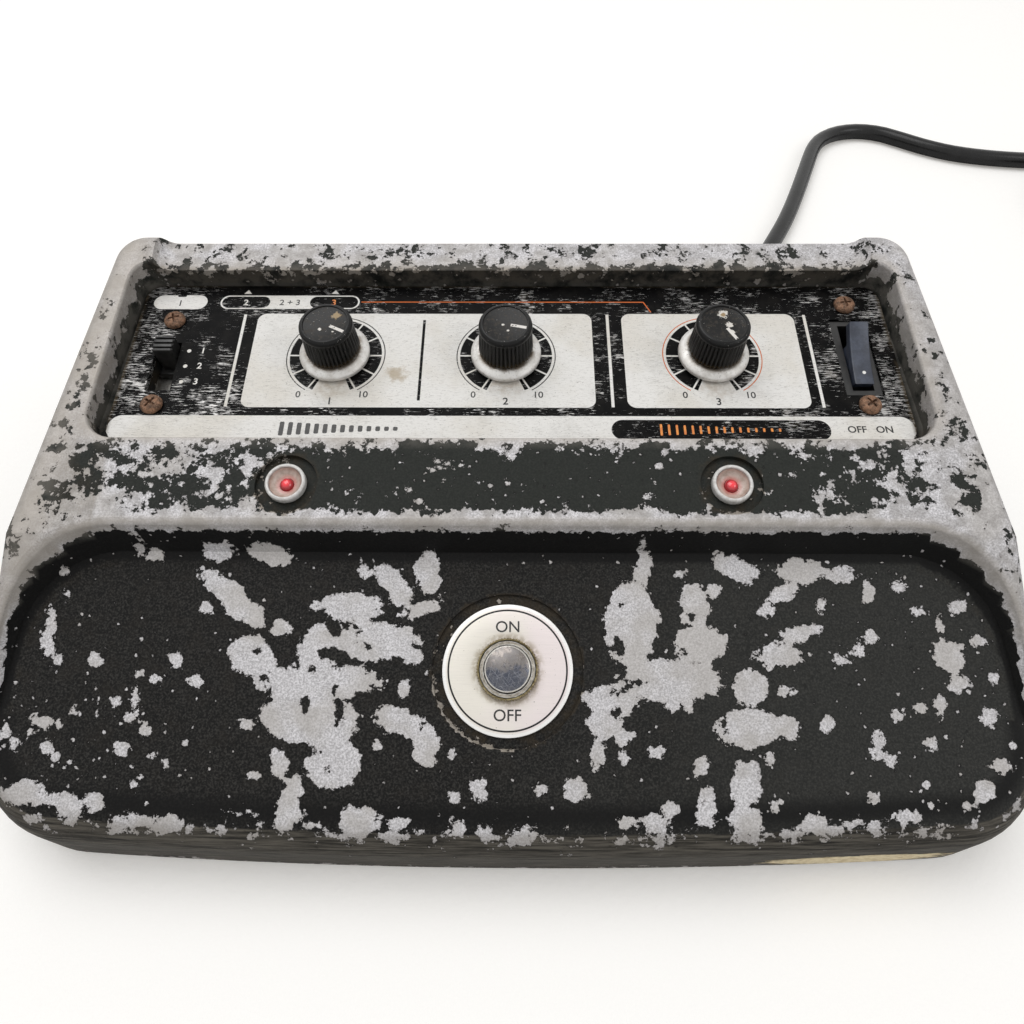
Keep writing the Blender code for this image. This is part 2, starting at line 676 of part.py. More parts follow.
def make_casting(frames):
    """The one-piece case with its recess, cavity, bosses and holes."""
    casting = solid("top_casting", case_block(), "paint")
    cut(casting, solid("cut_tread", tread_cutter()))
    join(casting, solid("lump_tread", tread_block()))
    cut(casting, solid("cut_recess", recess_cutter(), frame=frames["panel"]))
    cut(casting, solid("cut_back_rim", back_rim_cutter(), frame=frames["panel"]))
    below = CASE_BOTTOM_Z - OVERRUN
    floor_z = PANEL_THICKNESS + SEAT_GAP + CASE_ROOF
    roof = plane(DIAL_ROW_Y, DIAL_ROW_Z - floor_z / math.cos(PANEL_TILT), PANEL_TILT)
    inner = offset(case_outline(), -CASE_WALL)
    upper_reach = RECESS_REAR_HALF_WIDTH - CASE_WALL / 2
    upper_front = CREST_Y + CASE_WALL
    upper = [(-upper_reach, upper_front), (upper_reach, upper_front),
             (upper_reach, REAR_Y - CASE_WALL), (-upper_reach, REAR_Y - CASE_WALL)]
    cut(casting, solid("cut_upper_room", prism(upper, below, roof)))
    tread_roof_z = FOOTSWITCH_Z - CASE_ROOF / math.cos(TREAD_TILT) - DISC_POCKET_DEPTH
    tread_roof = plane(FOOTSWITCH_Y, tread_roof_z, TREAD_TILT)
    lower_rear = CREST_Y + CASE_WALL * 2
    lower = [(x, min(y, lower_rear)) for x, y in offset(case_outline(), -CASE_WALL - TREAD_EDGE_RADIUS / 2)]
    beside = zip(lower[-1:] + lower[:-1], lower, lower[1:] + lower[:1])
    lower = [here for before, here, after in beside if min(before[1], here[1], after[1]) < lower_rear]
    cut(casting, solid("cut_lower_room", prism(lower, below, tread_roof)))
    plate_room_top = CASE_BOTTOM_Z + PLATE_THICKNESS + SEAT_GAP
    cut(casting, solid("cut_plate_room", prism(inner, below, plate_room_top)))
    for name, x, y in foot_places():
        boss_top = min(TREAD_PLANE(x, y) - CASE_ROOF / 2, BOSS_TOP_Z)
        boss = turned([(BOSS_RADIUS, plate_room_top + BOSS_LIFT), (BOSS_RADIUS, boss_top)], 16)
        join(casting, solid(f"lump_boss_{name}", boss, at=(x, y, 0.0)))
        screw_end = foot_screw_base() + FOOT_SCREW_LENGTH + SEAT_GAP
        bore_radius = FOOT_SCREW_RADIUS + SCREW_HOLE_GAP
        bore = turned([(bore_radius, below), (bore_radius, screw_end)], 12)
        cut(casting, solid(f"cut_boss_{name}", bore, at=(x, y, 0.0)))
    return casting


def foot_screw_base():
    """Height of the underside of a foot screw's head."""
    return CASE_BOTTOM_Z - SEAT_GAP - FOOT_WEB - SEAT_GAP


def hole(pieces, name, radius, high, low, frame, at=(0.0, 0.0, 0.0), count=16):
    """One round hole through one or more pieces."""
    cutter = solid(f"cut_{name}", turned([(radius, low), (radius, high)], count), frame=frame, at=at)
    for piece in pieces:
        cut(piece, cutter)


def make_panel(casting, frames):
    """The printed plate and every hole that it shares with the casting."""
    frame = frames["panel"]
    corners = [(-PANEL_WIDTH / 2, PANEL_FRONT), (PANEL_WIDTH / 2, PANEL_FRONT),
               (PANEL_WIDTH / 2, PANEL_REAR), (-PANEL_WIDTH / 2, PANEL_REAR)]
    outline = rounded(corners, [PANEL_CORNER_RADIUS] * 4, 4)
    panel = solid("control_panel", prism(outline, -PANEL_THICKNESS, 0.0), "panel", frame)
    low = -PANEL_THICKNESS - CASE_ROOF - OVERRUN
    bush_hole = SHAFT_RADIUS + RUNNING_GAP + BUSH_WALL + SEAT_GAP
    for name, x in zip(DIAL_NAMES, DIAL_X):
        hole((casting, panel), f"dial_{name}", bush_hole, OVERRUN, low, frame, (x, 0.0, 0.0))
    for name, x, y in PANEL_SCREWS:
        radius = PANEL_SCREW_RADIUS + SCREW_HOLE_GAP
        hole((casting, panel), f"screw_{name}", radius, OVERRUN, low, frame, (x, y, 0.0), 10)
    slot_length = 2 * LEVEL_STEP + SLIDER_LENGTH + 2 * RUNNING_GAP
    for name, x, y, width, length in (
            ("level", LEVEL_X, LEVEL_Y, LEVEL_SLOT_WIDTH, slot_length),
            ("power", POWER_X, 0.0, POWER_SLOT_WIDTH, POWER_SLOT_LENGTH)):
        slot = block((width, length, 4 * OVERRUN))
        cutter = solid(f"cut_slot_{name}", slot, frame=frame, at=(x, y, 0.0))
        cut(casting, cutter)
        cut(panel, cutter)
    return panel


def make_screw(name, radius, length, head_radius, head_height, frame, at, upward=True):
    """A pan head screw with a cross in its head; its shank starts at the underside of the head."""
    direction = 1.0 if upward else -1.0
    crown_radius = head_radius * SCREW_CROWN_RADIUS_SHARE
    profile = [(radius, -length * direction), (radius, 0.0), (head_radius, 0.0),
               (head_radius, head_height * SCREW_HEAD_EDGE_SHARE * direction),
               (crown_radius, head_height * direction)]
    screw = solid(name, turned(profile, 14), "rust", frame, at)
    depth = head_height * SCREW_CROSS_DEPTH_SHARE
    reach = head_radius * SCREW_CROSS_LENGTH_SHARE
    for turn_name, size in (("a", (reach, SCREW_CROSS_WIDTH)), ("b", (SCREW_CROSS_WIDTH, reach))):
        slot = block((*size, 2 * depth))
        centre = Vector(at) + Vector((0.0, 0.0, head_height * direction))
        cut(screw, solid(f"cut_cross_{turn_name}_{name}", slot, frame=frame, at=centre))
    return screw


def fluted_ring(radius, height, depth):
    """A ring with a ridge and a groove for each flute."""
    points = []
    for index in range(2 * FLUTE_COUNT):
        angle = math.pi * index / FLUTE_COUNT
        reach = radius - depth * (index % 2)
        points.append((reach * math.cos(angle), reach * math.sin(angle), height))
    return points


def make_dial(name, x, frame):
    """Potentiometer, nut, shaft, skirt and cap of one dial."""
    bore = SHAFT_RADIUS + RUNNING_GAP
    bush = bore + BUSH_WALL
    top = -PANEL_THICKNESS - SEAT_GAP - CASE_ROOF - SEAT_GAP
    well = SHAFT_BOTTOM - SEAT_GAP
    profile = [(bore, well), (bore, BUSH_TOP), (bush, BUSH_TOP), (bush, top), (POT_RADIUS, top),
               (POT_RADIUS, top - POT_DEPTH)]
    can = turned(profile, 20)
    pot = solid(f"pot_body_{name}", can, "steel", frame, (x, 0.0, 0.0))
    lug = block((POT_LUG_WIDTH, POT_LUG_LENGTH * 2, POT_LUG_THICKNESS),
                (0.0, -POT_RADIUS, top - POT_DEPTH / 2))
    join(pot, solid(f"lump_pot_lug_{name}", lug, frame=frame, at=(x, 0.0, 0.0)))
    nut_profile = [(bush + SEAT_GAP, SEAT_GAP), (POT_NUT_RADIUS, SEAT_GAP),
                   (POT_NUT_RADIUS, SEAT_GAP + POT_NUT_HEIGHT), (bush + SEAT_GAP, SEAT_GAP + POT_NUT_HEIGHT)]
    solid(f"pot_nut_{name}", turned(nut_profile, 12, close=True), "steel", frame, (x, 0.0, 0.0))
    shaft = turned([(SHAFT_RADIUS, SHAFT_BOTTOM), (SHAFT_RADIUS, SHAFT_TOP)], 16)
    solid(f"pot_shaft_{name}", shaft, "steel", frame, (x, 0.0, 0.0))
    skirt_bore = POT_NUT_RADIUS + SEAT_GAP
    skirt_top = SKIRT_LIFT + SKIRT_HEIGHT
    skirt = turned([(skirt_bore, SKIRT_LIFT), (SKIRT_RADIUS, SKIRT_LIFT),
                    (SKIRT_RADIUS, SKIRT_LIFT + SKIRT_EDGE_HEIGHT), (CAP_BASE_RADIUS + SEAT_GAP, skirt_top),
                    (skirt_bore, skirt_top)], 32, close=True)
    solid(f"knob_skirt_{name}", skirt, "aluminium", frame, (x, 0.0, 0.0))
    cap_bottom = skirt_top + SEAT_GAP
    rim_base = CAP_TOP - CAP_RIM_HEIGHT
    cap = rings([
        fluted_ring(CAP_BASE_RADIUS, cap_bottom, FLUTE_DEPTH),
        fluted_ring(CAP_TOP_RADIUS, rim_base, FLUTE_DEPTH),
        fluted_ring(CAP_TOP_RADIUS, rim_base, 0.0),
        fluted_ring(CAP_TOP_RADIUS, CAP_TOP - CAP_CHAMFER, 0.0),
        fluted_ring(CAP_TOP_RADIUS - CAP_CHAMFER, CAP_TOP, 0.0),
        fluted_ring(CAP_INSET_RADIUS, CAP_TOP, 0.0),
        fluted_ring(CAP_INSET_RADIUS, CAP_TOP - CAP_INSET_DEPTH, 0.0)])
    knob = solid(f"knob_cap_{name}", cap, "black_plastic", frame, (x, 0.0, 0.0))
    for step_name, radius, high in (("bush", bush + RUNNING_GAP, BUSH_TOP + SEAT_GAP),
                                    ("shaft", SHAFT_RADIUS + SEAT_GAP, SHAFT_TOP + SEAT_GAP)):
        hole((knob,), f"cap_{step_name}_{name}", radius, high, 0.0, frame, (x, 0.0, 0.0))


def make_level_switch(frame):
    """The three-position slide switch; the slider rests in its rear position."""
    top = -PANEL_THICKNESS - SEAT_GAP - CASE_ROOF - SEAT_GAP
    foot_width = SLIDER_WIDTH + 2 * SLIDER_FOOT_OVERHANG
    foot_length = SLIDER_LENGTH + 2 * SLIDER_FOOT_OVERHANG
    well = (foot_width + 2 * RUNNING_GAP, foot_length + 2 * LEVEL_STEP + 2 * RUNNING_GAP)
    size = (well[0] + 2 * LEVEL_BODY_WALL, well[1] + 2 * LEVEL_BODY_WALL, LEVEL_BODY_HEIGHT)
    body = solid("level_switch_body", block(size, (0.0, 0.0, top - LEVEL_BODY_HEIGHT / 2)), "steel",
                 frame, (LEVEL_X, LEVEL_Y, 0.0))
    well_depth = SLIDER_FOOT_HEIGHT + 2 * RUNNING_GAP
    cutter = block((*well, 2 * well_depth), (0.0, 0.0, top))
    cut(body, solid("cut_level_well", cutter, frame=frame, at=(LEVEL_X, LEVEL_Y, 0.0)))
    foot_top = top - RUNNING_GAP
    slider_y = LEVEL_Y + LEVEL_STEP
    stem_low = foot_top - SLIDER_FOOT_HEIGHT / 2
    stem_middle = (SLIDER_PROUD + stem_low) / 2
    stem = block((SLIDER_WIDTH, SLIDER_LENGTH, SLIDER_PROUD - stem_low), (0.0, 0.0, stem_middle))
    slider = solid("level_switch_slider", stem, "black_plastic", frame, (LEVEL_X, slider_y, 0.0))
    foot_middle = foot_top - SLIDER_FOOT_HEIGHT / 2
    foot = block((foot_width, foot_length, SLIDER_FOOT_HEIGHT), (0.0, 0.0, foot_middle))
    join(slider, solid("lump_slider_foot", foot, frame=frame, at=(LEVEL_X, slider_y, 0.0)))
    groove_count = 3
    pitch = SLIDER_LENGTH / groove_count
    for index in range(groove_count):
        groove_y = slider_y + (index - (groove_count - 1) / 2) * pitch
        groove = block((SLIDER_WIDTH + OVERRUN, pitch / 2, 2 * SLIDER_RIB_DEPTH))
        at = (LEVEL_X, groove_y, SLIDER_PROUD)
        cut(slider, solid(f"cut_slider_groove_{index}", groove, frame=frame, at=at))


def rocker_outline():
    """Side view of the paddle about its pivot: a dished top, a hub below."""
    top = []
    count = 8
    for index in range(count + 1):
        share = 1 - 2 * index / count
        top.append((ROCKER_HALF_LENGTH * share, ROCKER_END_HEIGHT - ROCKER_DISH * (1 - share * share)))
    under = ROCKER_END_HEIGHT - ROCKER_THICKNESS
    outline = top + [(-ROCKER_HALF_LENGTH, under), (-ROCKER_HUB_RADIUS, under - ROCKER_DISH)]
    hub_count = 6
    for index in range(hub_count + 1):
        angle = math.pi + math.pi * index / hub_count
        outline.append((ROCKER_HUB_RADIUS * math.cos(angle), ROCKER_HUB_RADIUS * math.sin(angle)))
    outline += [(ROCKER_HUB_RADIUS, under - ROCKER_DISH), (ROCKER_HALF_LENGTH, under)]
    return outline


def make_power_switch(frame):
    """The power switch: a deep shell behind the panel and a paddle on a cross pin."""
    width = POWER_SLOT_WIDTH - 2 * SEAT_GAP
    length = POWER_SLOT_LENGTH - 2 * SEAT_GAP
    top = -POWER_COLLAR_SINK
    shell = block((width, length, POWER_BODY_DEPTH), (0.0, 0.0, top - POWER_BODY_DEPTH / 2))
    body = solid("power_switch_body", shell, "black_plastic", frame, (POWER_X, 0.0, 0.0))
    well = block((ROCKER_WIDTH + 2 * RUNNING_GAP, length - 2 * POWER_SHELL_WALL, 2 * POWER_WELL_DEPTH),
                 (0.0, 0.0, top))
    cut(body, solid("cut_power_well", well, frame=frame, at=(POWER_X, 0.0, 0.0)))
    paddle = rings([[(side * ROCKER_WIDTH / 2, y, z) for y, z in rocker_outline()] for side in (-1, 1)])
    rocker = solid("power_rocker", paddle, "rocker", frame, (POWER_X, ROCKER_PIVOT_Y, -ROCKER_PIVOT_SINK))
    rocker.rotation_euler = (ROCKER_REST_TILT, 0.0, 0.0)


def make_indicators(casting, frame):
    """Two lamps in dished bezels, each in a round pocket of the ridge."""
    for name, x in (("left", -LAMP_X), ("right", LAMP_X)):
        at = (x, 0.0, 0.0)
        hole((casting,), f"lamp_pocket_{name}", LAMP_POCKET_RADIUS, OVERRUN, -LAMP_POCKET_DEPTH, frame, at, 24)
        hole((casting,), f"lamp_barrel_{name}", BEZEL_BARREL_RADIUS + SEAT_GAP, 0.0, -4 * OVERRUN, frame, at)
        seat = -LAMP_POCKET_DEPTH + SEAT_GAP
        rise = seat + LAMP_POCKET_DEPTH + BEZEL_RISE
        barrel_end = seat - BEZEL_BARREL_LENGTH
        profile = [(BEZEL_BORE_RADIUS, barrel_end), (BEZEL_BARREL_RADIUS, barrel_end),
                   (BEZEL_BARREL_RADIUS, seat), (BEZEL_RADIUS, seat), (BEZEL_RADIUS, rise - SEAT_GAP),
                   (BEZEL_RADIUS - BEZEL_DISH, rise), (BEZEL_BORE_RADIUS, rise - BEZEL_DISH)]
        solid(f"indicator_bezel_{name}", turned(profile, 24, close=True), "lens", frame, at)
        dome_base = rise - BEZEL_DISH
        dome = [(LAMP_RADIUS * across, dome_base + LAMP_RADIUS * up) for across, up in LAMP_DOME_SHARES]
        lamp_profile = [(LAMP_RADIUS, dome_base - LAMP_BODY_LENGTH), (LAMP_RADIUS, dome_base)] + dome
        solid(f"indicator_lamp_{name}", turned(lamp_profile, 14), "lamp_red", frame, at)


def make_footswitch(casting, frame):
    """Footswitch: body under the tread, bush, disc, ring nut and plunger."""
    bore = PLUNGER_RADIUS + RUNNING_GAP
    bush = bore + SWITCH_BUSH_WALL
    hole((casting,), "disc_pocket", DISC_POCKET_RADIUS, OVERRUN, -DISC_POCKET_DEPTH, frame, count=32)
    hole((casting,), "switch_bush", bush + SEAT_GAP, 0.0, -4 * OVERRUN, frame, count=20)
    disc_base = -DISC_POCKET_DEPTH + SEAT_GAP
    disc_top = disc_base + DISC_THICKNESS
    disc = [(bush + SEAT_GAP, disc_base), (DISC_RADIUS, disc_base), (DISC_RADIUS, disc_top),
            (bush + SEAT_GAP, disc_top)]
    solid("footswitch_disc", turned(disc, 32, close=True), "aluminium", frame)
    nut_base = disc_top + SEAT_GAP
    nut_top = nut_base + SWITCH_NUT_HEIGHT
    nut = [(bush + SEAT_GAP, nut_base), (SWITCH_NUT_RADIUS, nut_base), (SWITCH_NUT_RADIUS, nut_top),
           (bush + SEAT_GAP, nut_top)]
    solid("footswitch_nut", turned(nut, 24, close=True), "brass", frame)
    tread_wall = CASE_ROOF + 2 * DISC_POCKET_DEPTH
    body_top = -tread_wall - SEAT_GAP
    middle = body_top - SWITCH_BODY_DEPTH / 2
    box = block((SWITCH_BODY_WIDTH, SWITCH_BODY_LENGTH, SWITCH_BODY_DEPTH), (0.0, 0.0, middle))
    body = solid("footswitch_body", box, "steel", frame)
    bush_tube = turned([(bush, middle), (bush, SWITCH_BUSH_TOP)], 20)
    join(body, solid("lump_switch_bush", bush_tube, frame=frame))
    plunger_foot = PLUNGER_TOP - PLUNGER_DOME - PLUNGER_SHANK
    well = plunger_foot - PLUNGER_TRAVEL - SEAT_GAP
    hole((body,), "plunger_well", bore, OVERRUN, well, frame, count=20)
    shoulder = PLUNGER_TOP - PLUNGER_DOME
    dome = [(PLUNGER_RADIUS * across, shoulder + PLUNGER_DOME * up) for across, up in PLUNGER_DOME_SHARES]
    profile = [(PLUNGER_RADIUS, plunger_foot), (PLUNGER_RADIUS, shoulder)] + dome
    solid("footswitch_plunger", turned(profile, 24), "chrome", frame)


def make_jacks(casting):
    """Three sockets with their nuts in the back wall."""
    for name, x in JACK_PLACES:
        frame = bpy.data.objects.new(f"jack_frame_{name}", None)
        bpy.context.scene.collection.objects.link(frame)
        frame.location = (x, REAR_Y, JACK_Z)
        frame.rotation_euler = (-math.pi / 2, 0.0, 0.0)
        hole((casting,), f"jack_{name}", JACK_BUSH_RADIUS + SEAT_GAP, OVERRUN, -CASE_WALL - OVERRUN, frame)
        face = -CASE_WALL - SEAT_GAP
        middle = face - JACK_BODY_LENGTH / 2
        body = block((JACK_BODY_WIDTH, JACK_BODY_HEIGHT, JACK_BODY_LENGTH), (0.0, 0.0, middle))
        jack = solid(f"jack_{name}", body, "black_plastic", frame)
        bush = turned([(JACK_BUSH_RADIUS, middle), (JACK_BUSH_RADIUS, JACK_PROUD)], 16)
        join(jack, solid(f"lump_jack_bush_{name}", bush, frame=frame))
        hole((jack,), f"jack_bore_{name}", JACK_BORE_RADIUS, 2 * OVERRUN, JACK_PROUD - JACK_BORE_DEPTH, frame)
        nut_bore = JACK_BUSH_RADIUS + SEAT_GAP
        nut = turned([(nut_bore, SEAT_GAP), (JACK_NUT_RADIUS, SEAT_GAP), (JACK_NUT_RADIUS, JACK_NUT_HEIGHT),
                      (nut_bore, JACK_NUT_HEIGHT)], 12, close=True)
        solid(f"jack_nut_{name}", nut, "steel", frame)


def make_underside():
    """Bottom plate with board posts, rubber feet and their screws."""
    outline = offset(case_outline(), -CASE_WALL - SEAT_GAP)
    plate_top = CASE_BOTTOM_Z + PLATE_THICKNESS
    plate = solid("bottom_plate", prism(outline, CASE_BOTTOM_Z, plate_top), "iron")
    board_y = REAR_Y - BOARD_FROM_REAR
    for depth in (-1, 1):
        for side in (-1, 1):
            x = BOARD_X + side * (BOARD_WIDTH / 2 - POST_INSET)
            y = board_y + depth * (BOARD_DEPTH / 2 - POST_INSET)
            post_foot = CASE_BOTTOM_Z + PLATE_THICKNESS / 2
            post = turned([(POST_RADIUS, post_foot), (POST_RADIUS, plate_top + POST_HEIGHT)], 8)
            join(plate, solid(f"lump_post_{depth}_{side}", post, at=(x, y, 0.0)))
    foot_top = CASE_BOTTOM_Z - SEAT_GAP
    bore = FOOT_SCREW_RADIUS + SCREW_HOLE_GAP
    for name, x, y in foot_places():
        hole((plate,), f"plate_{name}", bore, plate_top + OVERRUN, 0.0, None, (x, y, 0.0), 12)
        profile = [(FOOT_COUNTERBORE_RADIUS, 0.0), (FOOT_RADIUS - FOOT_EDGE, 0.0), (FOOT_RADIUS, FOOT_EDGE),
                   (FOOT_RADIUS, foot_top), (bore, foot_top), (bore, foot_top - FOOT_WEB),
                   (FOOT_COUNTERBORE_RADIUS, foot_top - FOOT_WEB)]
        solid(f"foot_{name}", turned(profile, 20, close=True), "rubber", None, (x, y, 0.0))
        make_screw(f"foot_screw_{name}", FOOT_SCREW_RADIUS, FOOT_SCREW_LENGTH, FOOT_SCREW_HEAD_RADIUS,
                   FOOT_SCREW_HEAD_HEIGHT, None, (x, y, foot_screw_base()), upward=False)


def make_inside():
    """Circuit board, its delay chip and the power transformer."""
    board_y = REAR_Y - BOARD_FROM_REAR
    board_z = CASE_BOTTOM_Z + PLATE_THICKNESS + POST_HEIGHT + SEAT_GAP
    board_middle = board_z + BOARD_THICKNESS / 2
    board = block((BOARD_WIDTH, BOARD_DEPTH, BOARD_THICKNESS), (BOARD_X, board_y, board_middle))
    solid("main_board", board, "board")
    chip_z = board_z + BOARD_THICKNESS + SEAT_GAP
    chip = block((CHIP_LENGTH, CHIP_WIDTH, CHIP_HEIGHT), (BOARD_X, board_y, chip_z + CHIP_HEIGHT / 2))
    solid("delay_chip", chip, "black_plastic")
    transformer_y = REAR_Y - TRANSFORMER_FROM_REAR
    base = CASE_BOTTOM_Z + PLATE_THICKNESS + SEAT_GAP
    core = block((TRANSFORMER_WIDTH, TRANSFORMER_DEPTH - 2 * COIL_BULGE, TRANSFORMER_HEIGHT),
                 (TRANSFORMER_X, transformer_y, base + TRANSFORMER_HEIGHT / 2))
    transformer = solid("power_transformer", core, "iron")
    winding = block((COIL_WIDTH, TRANSFORMER_DEPTH, TRANSFORMER_HEIGHT - 2 * TRANSFORMER_FLANGE),
                    (TRANSFORMER_X, transformer_y, base + TRANSFORMER_HEIGHT / 2))
    join(transformer, solid("lump_winding", winding))


def smooth_route(points, step):
    """Even points along one smooth curve through a route's own points."""
    path = [np.array(point) for point in points]
    ends = [2 * path[0] - path[1]] + path + [2 * path[-1] - path[-2]]
    fine = []
    for before, start, end, after in zip(ends, ends[1:], ends[2:], ends[3:]):
        for share in np.linspace(0.0, 1.0, 24, endpoint=False):
            square, cube = share ** 2, share ** 3
            fine.append(0.5 * (2 * start + (end - before) * share
                               + (2 * before - 5 * start + 4 * end - after) * square
                               + (3 * start - before - 3 * end + after) * cube))
    fine.append(path[-1])
    fine = np.array(fine)
    travelled = np.concatenate(([0.0], np.cumsum(np.linalg.norm(np.diff(fine, axis=0), axis=1))))
    count = max(2, round(travelled[-1] / step))
    marks = np.linspace(0.0, travelled[-1], count + 1)
    return np.column_stack([np.interp(marks, travelled, fine[:, axis]) for axis in range(3)])


def tube(name, points, radius, resolution, finish_name):
    """A round cord along its points, with filled ends."""
    curve = bpy.data.curves.new(name, "CURVE")
    curve.dimensions = "3D"
    curve.resolution_u = 1
    curve.render_resolution_u = 0
    curve.bevel_depth = radius
    curve.bevel_resolution = resolution
    curve.use_fill_caps = True
    line = curve.splines.new("POLY")
    line.points.add(len(points) - 1)
    for slot, point in zip(line.points, points):
        slot.co = (*point, 1.0)
    item = bpy.data.objects.new(name, curve)
    bpy.context.scene.collection.objects.link(item)
    dress(item, finish_name)
    return item


def coil_points(start):
    """The coil: in along the floor, up a layer while it reverses, and out again on top."""
    pitch = CORD_DIAMETER + COIL_GAP
    outer = (COIL_CORDS_ACROSS * CORD_DIAMETER + pitch * COIL_TURNS_IN) / 2
    centre = Vector((start[0] + CORD_DIAMETER, start[1] - outer))
    total = COIL_TURNS_IN + COIL_TURNS_CLIMBING + COIL_TURNS_OUT
    points = [tuple(start)]
    for index in range(round(total * COIL_POINTS_PER_TURN) + 1):
        turn = index / COIL_POINTS_PER_TURN
        climb = min(max((turn - COIL_TURNS_IN) / COIL_TURNS_CLIMBING, 0.0), 1.0)
        drawn_in = min(turn, COIL_TURNS_IN) - max(turn - COIL_TURNS_IN - COIL_TURNS_CLIMBING, 0.0)
        drawn_in += COIL_TURNS_CLIMBING * climb * (1 - climb)
        radius = outer - pitch * drawn_in
        angle = math.pi / 2 - 2 * math.pi * turn
        height = start[2] + pitch * climb * climb * (3 - 2 * climb)
        points.append((centre.x + radius * math.cos(angle), centre.y + radius * math.sin(angle), height))
    return points


def length_of(points):
    """Length along a row of points."""
    steps = np.diff(np.array(points), axis=0)
    return float(np.linalg.norm(steps, axis=1).sum())


def tail_points(start, length):
    """The last stretch: off the coil, down to the plug's middle and straight into it."""
    count = max(3, round(length / CORD_STEP * 2))
    points = []
    for index in range(1, count + 1):
        share = index / count
        eased = min(share * length / (length - CORD_DIAMETER), 1.0)
        eased = eased * eased * (3 - 2 * eased)
        points.append((start[0], start[1] - length * share, start[2] + (PLUG_HEIGHT / 2 - start[2]) * eased))
    return points


def least_gap(points, radius):
    """Least clear space between stretches of a tube that are more than a few diameters apart along it."""
    row = np.array(points)
    along = np.concatenate(([0.0], np.cumsum(np.linalg.norm(np.diff(row, axis=0), axis=1))))
    apart = np.linalg.norm(row[:, None] - row[None, :], axis=2)
    far = np.abs(along[:, None] - along[None, :]) > 6 * radius
    return float(apart[far].min()) - 2 * radius


def make_plug(tip):
    """Two-pin plug that lies on the floor, pointing to the front, with the cord's end in its neck."""
    frame = bpy.data.objects.new("plug_frame", None)
    bpy.context.scene.collection.objects.link(frame)
    frame.location = (tip[0], tip[1] - SEAT_GAP, PLUG_HEIGHT / 2)
    frame.rotation_euler = (math.pi / 2, 0.0, 0.0)
    sections = []
    for width_share, height_share, length_share in PLUG_SECTION_SHARES:
        across = PLUG_WIDTH * width_share / 2
        up = PLUG_HEIGHT * height_share / 2
        along = PLUG_NECK_LENGTH + PLUG_LENGTH * length_share
        corners = [(-across, -up), (across, -up), (across, up), (-across, up)]
        outline = rounded(corners, [2 * up * PLUG_CORNER_SHARE] * 4, 3)
        sections.append([(x, y, along) for x, y in outline])
    plug = solid("plug", rings(sections), "black_plastic", frame)
    neck_end = (PLUG_NECK_RADIUS * PLUG_NECK_FLARE_SHARE, PLUG_NECK_LENGTH * PLUG_NECK_REACH_SHARE)
    neck = turned([(PLUG_NECK_RADIUS, 0.0), neck_end], 12)
    join(plug, solid("lump_plug_neck", neck, frame=frame))
    body_end = PLUG_NECK_LENGTH + PLUG_LENGTH
    for side in (-1, 1):
        blade = block((BLADE_THICKNESS, BLADE_WIDTH, BLADE_LENGTH + OVERRUN),
                      (side * BLADE_SPACING / 2, 0.0, body_end + (BLADE_LENGTH - OVERRUN) / 2))
        join(plug, solid(f"lump_blade_{side}", blade, frame=frame))


def make_cord(casting):
    """Strain relief, the stretch on the floor, the coil of the spare length and the plug."""
    frame = bpy.data.objects.new("gland_frame", None)
    bpy.context.scene.collection.objects.link(frame)
    frame.location = (GLAND_X, REAR_Y, GLAND_Z)
    frame.rotation_euler = (-math.pi / 2, 0.0, 0.0)
    hole((casting,), "gland", GLAND_NECK_RADIUS + SEAT_GAP, OVERRUN, -CASE_WALL - OVERRUN, frame)
    gland = turned([
        (GLAND_NECK_RADIUS, -GLAND_INSIDE), (GLAND_NECK_RADIUS, SEAT_GAP), (GLAND_FLANGE_RADIUS, SEAT_GAP),
        (GLAND_FLANGE_RADIUS, SEAT_GAP + GLAND_FLANGE_THICKNESS),
        (GLAND_NECK_RADIUS, SEAT_GAP + GLAND_FLANGE_THICKNESS), (GLAND_TIP_RADIUS, GLAND_LENGTH)], 16)
    solid("cord_gland", gland, "rubber", frame)
    route = [(GLAND_X + across, GLAND_TIP_Y + back, height) for across, back, height in CORD_ROUTE]
    free = smooth_route(route, CORD_STEP)
    tube("cord", free, CORD_RADIUS, 2, "cord")
    end = free[-1]
    coil = coil_points((end[0] + SEAT_GAP, end[1], end[2]))
    tail_length = CORD_LENGTH - length_of(free) - length_of(coil) - SEAT_GAP
    coil += tail_points(coil[-1], tail_length)
    tube("cord_coil", coil, CORD_RADIUS, 1, "cord")
    print(f"coil: least gap {least_gap(coil, CORD_RADIUS) / MM:.2f} mm, tail {tail_length / MM:.1f} mm")
    make_plug(coil[-1])


def main():
    clear_scene()
    lamp_y = CREST_Y + LAMP_FROM_CREST
    frames = {
        "panel": frame_at("panel_frame", DIAL_ROW_Y, DIAL_ROW_Z, PANEL_TILT),
        "ridge": frame_at("ridge_frame", lamp_y, RIM_PLANE(0.0, lamp_y), RIM_TILT),
        "tread": frame_at("tread_frame", FOOTSWITCH_Y, FOOTSWITCH_Z, TREAD_TILT),
    }
    casting = make_casting(frames)
    make_panel(casting, frames)
    for name, x in zip(DIAL_NAMES, DIAL_X):
        make_dial(name, x, frames["panel"])
    make_level_switch(frames["panel"])
    make_power_switch(frames["panel"])
    for name, x, y in PANEL_SCREWS:
        make_screw(f"panel_screw_{name}", PANEL_SCREW_RADIUS, PANEL_SCREW_LENGTH, PANEL_SCREW_HEAD_RADIUS,
                   PANEL_SCREW_HEAD_HEIGHT, frames["panel"], (x, y, SEAT_GAP))
    make_indicators(casting, frames["ridge"])
    make_footswitch(casting, frames["tread"])
    make_jacks(casting)
    make_underside()
    make_inside()
    make_cord(casting)
    bpy.context.view_layer.update()


main()
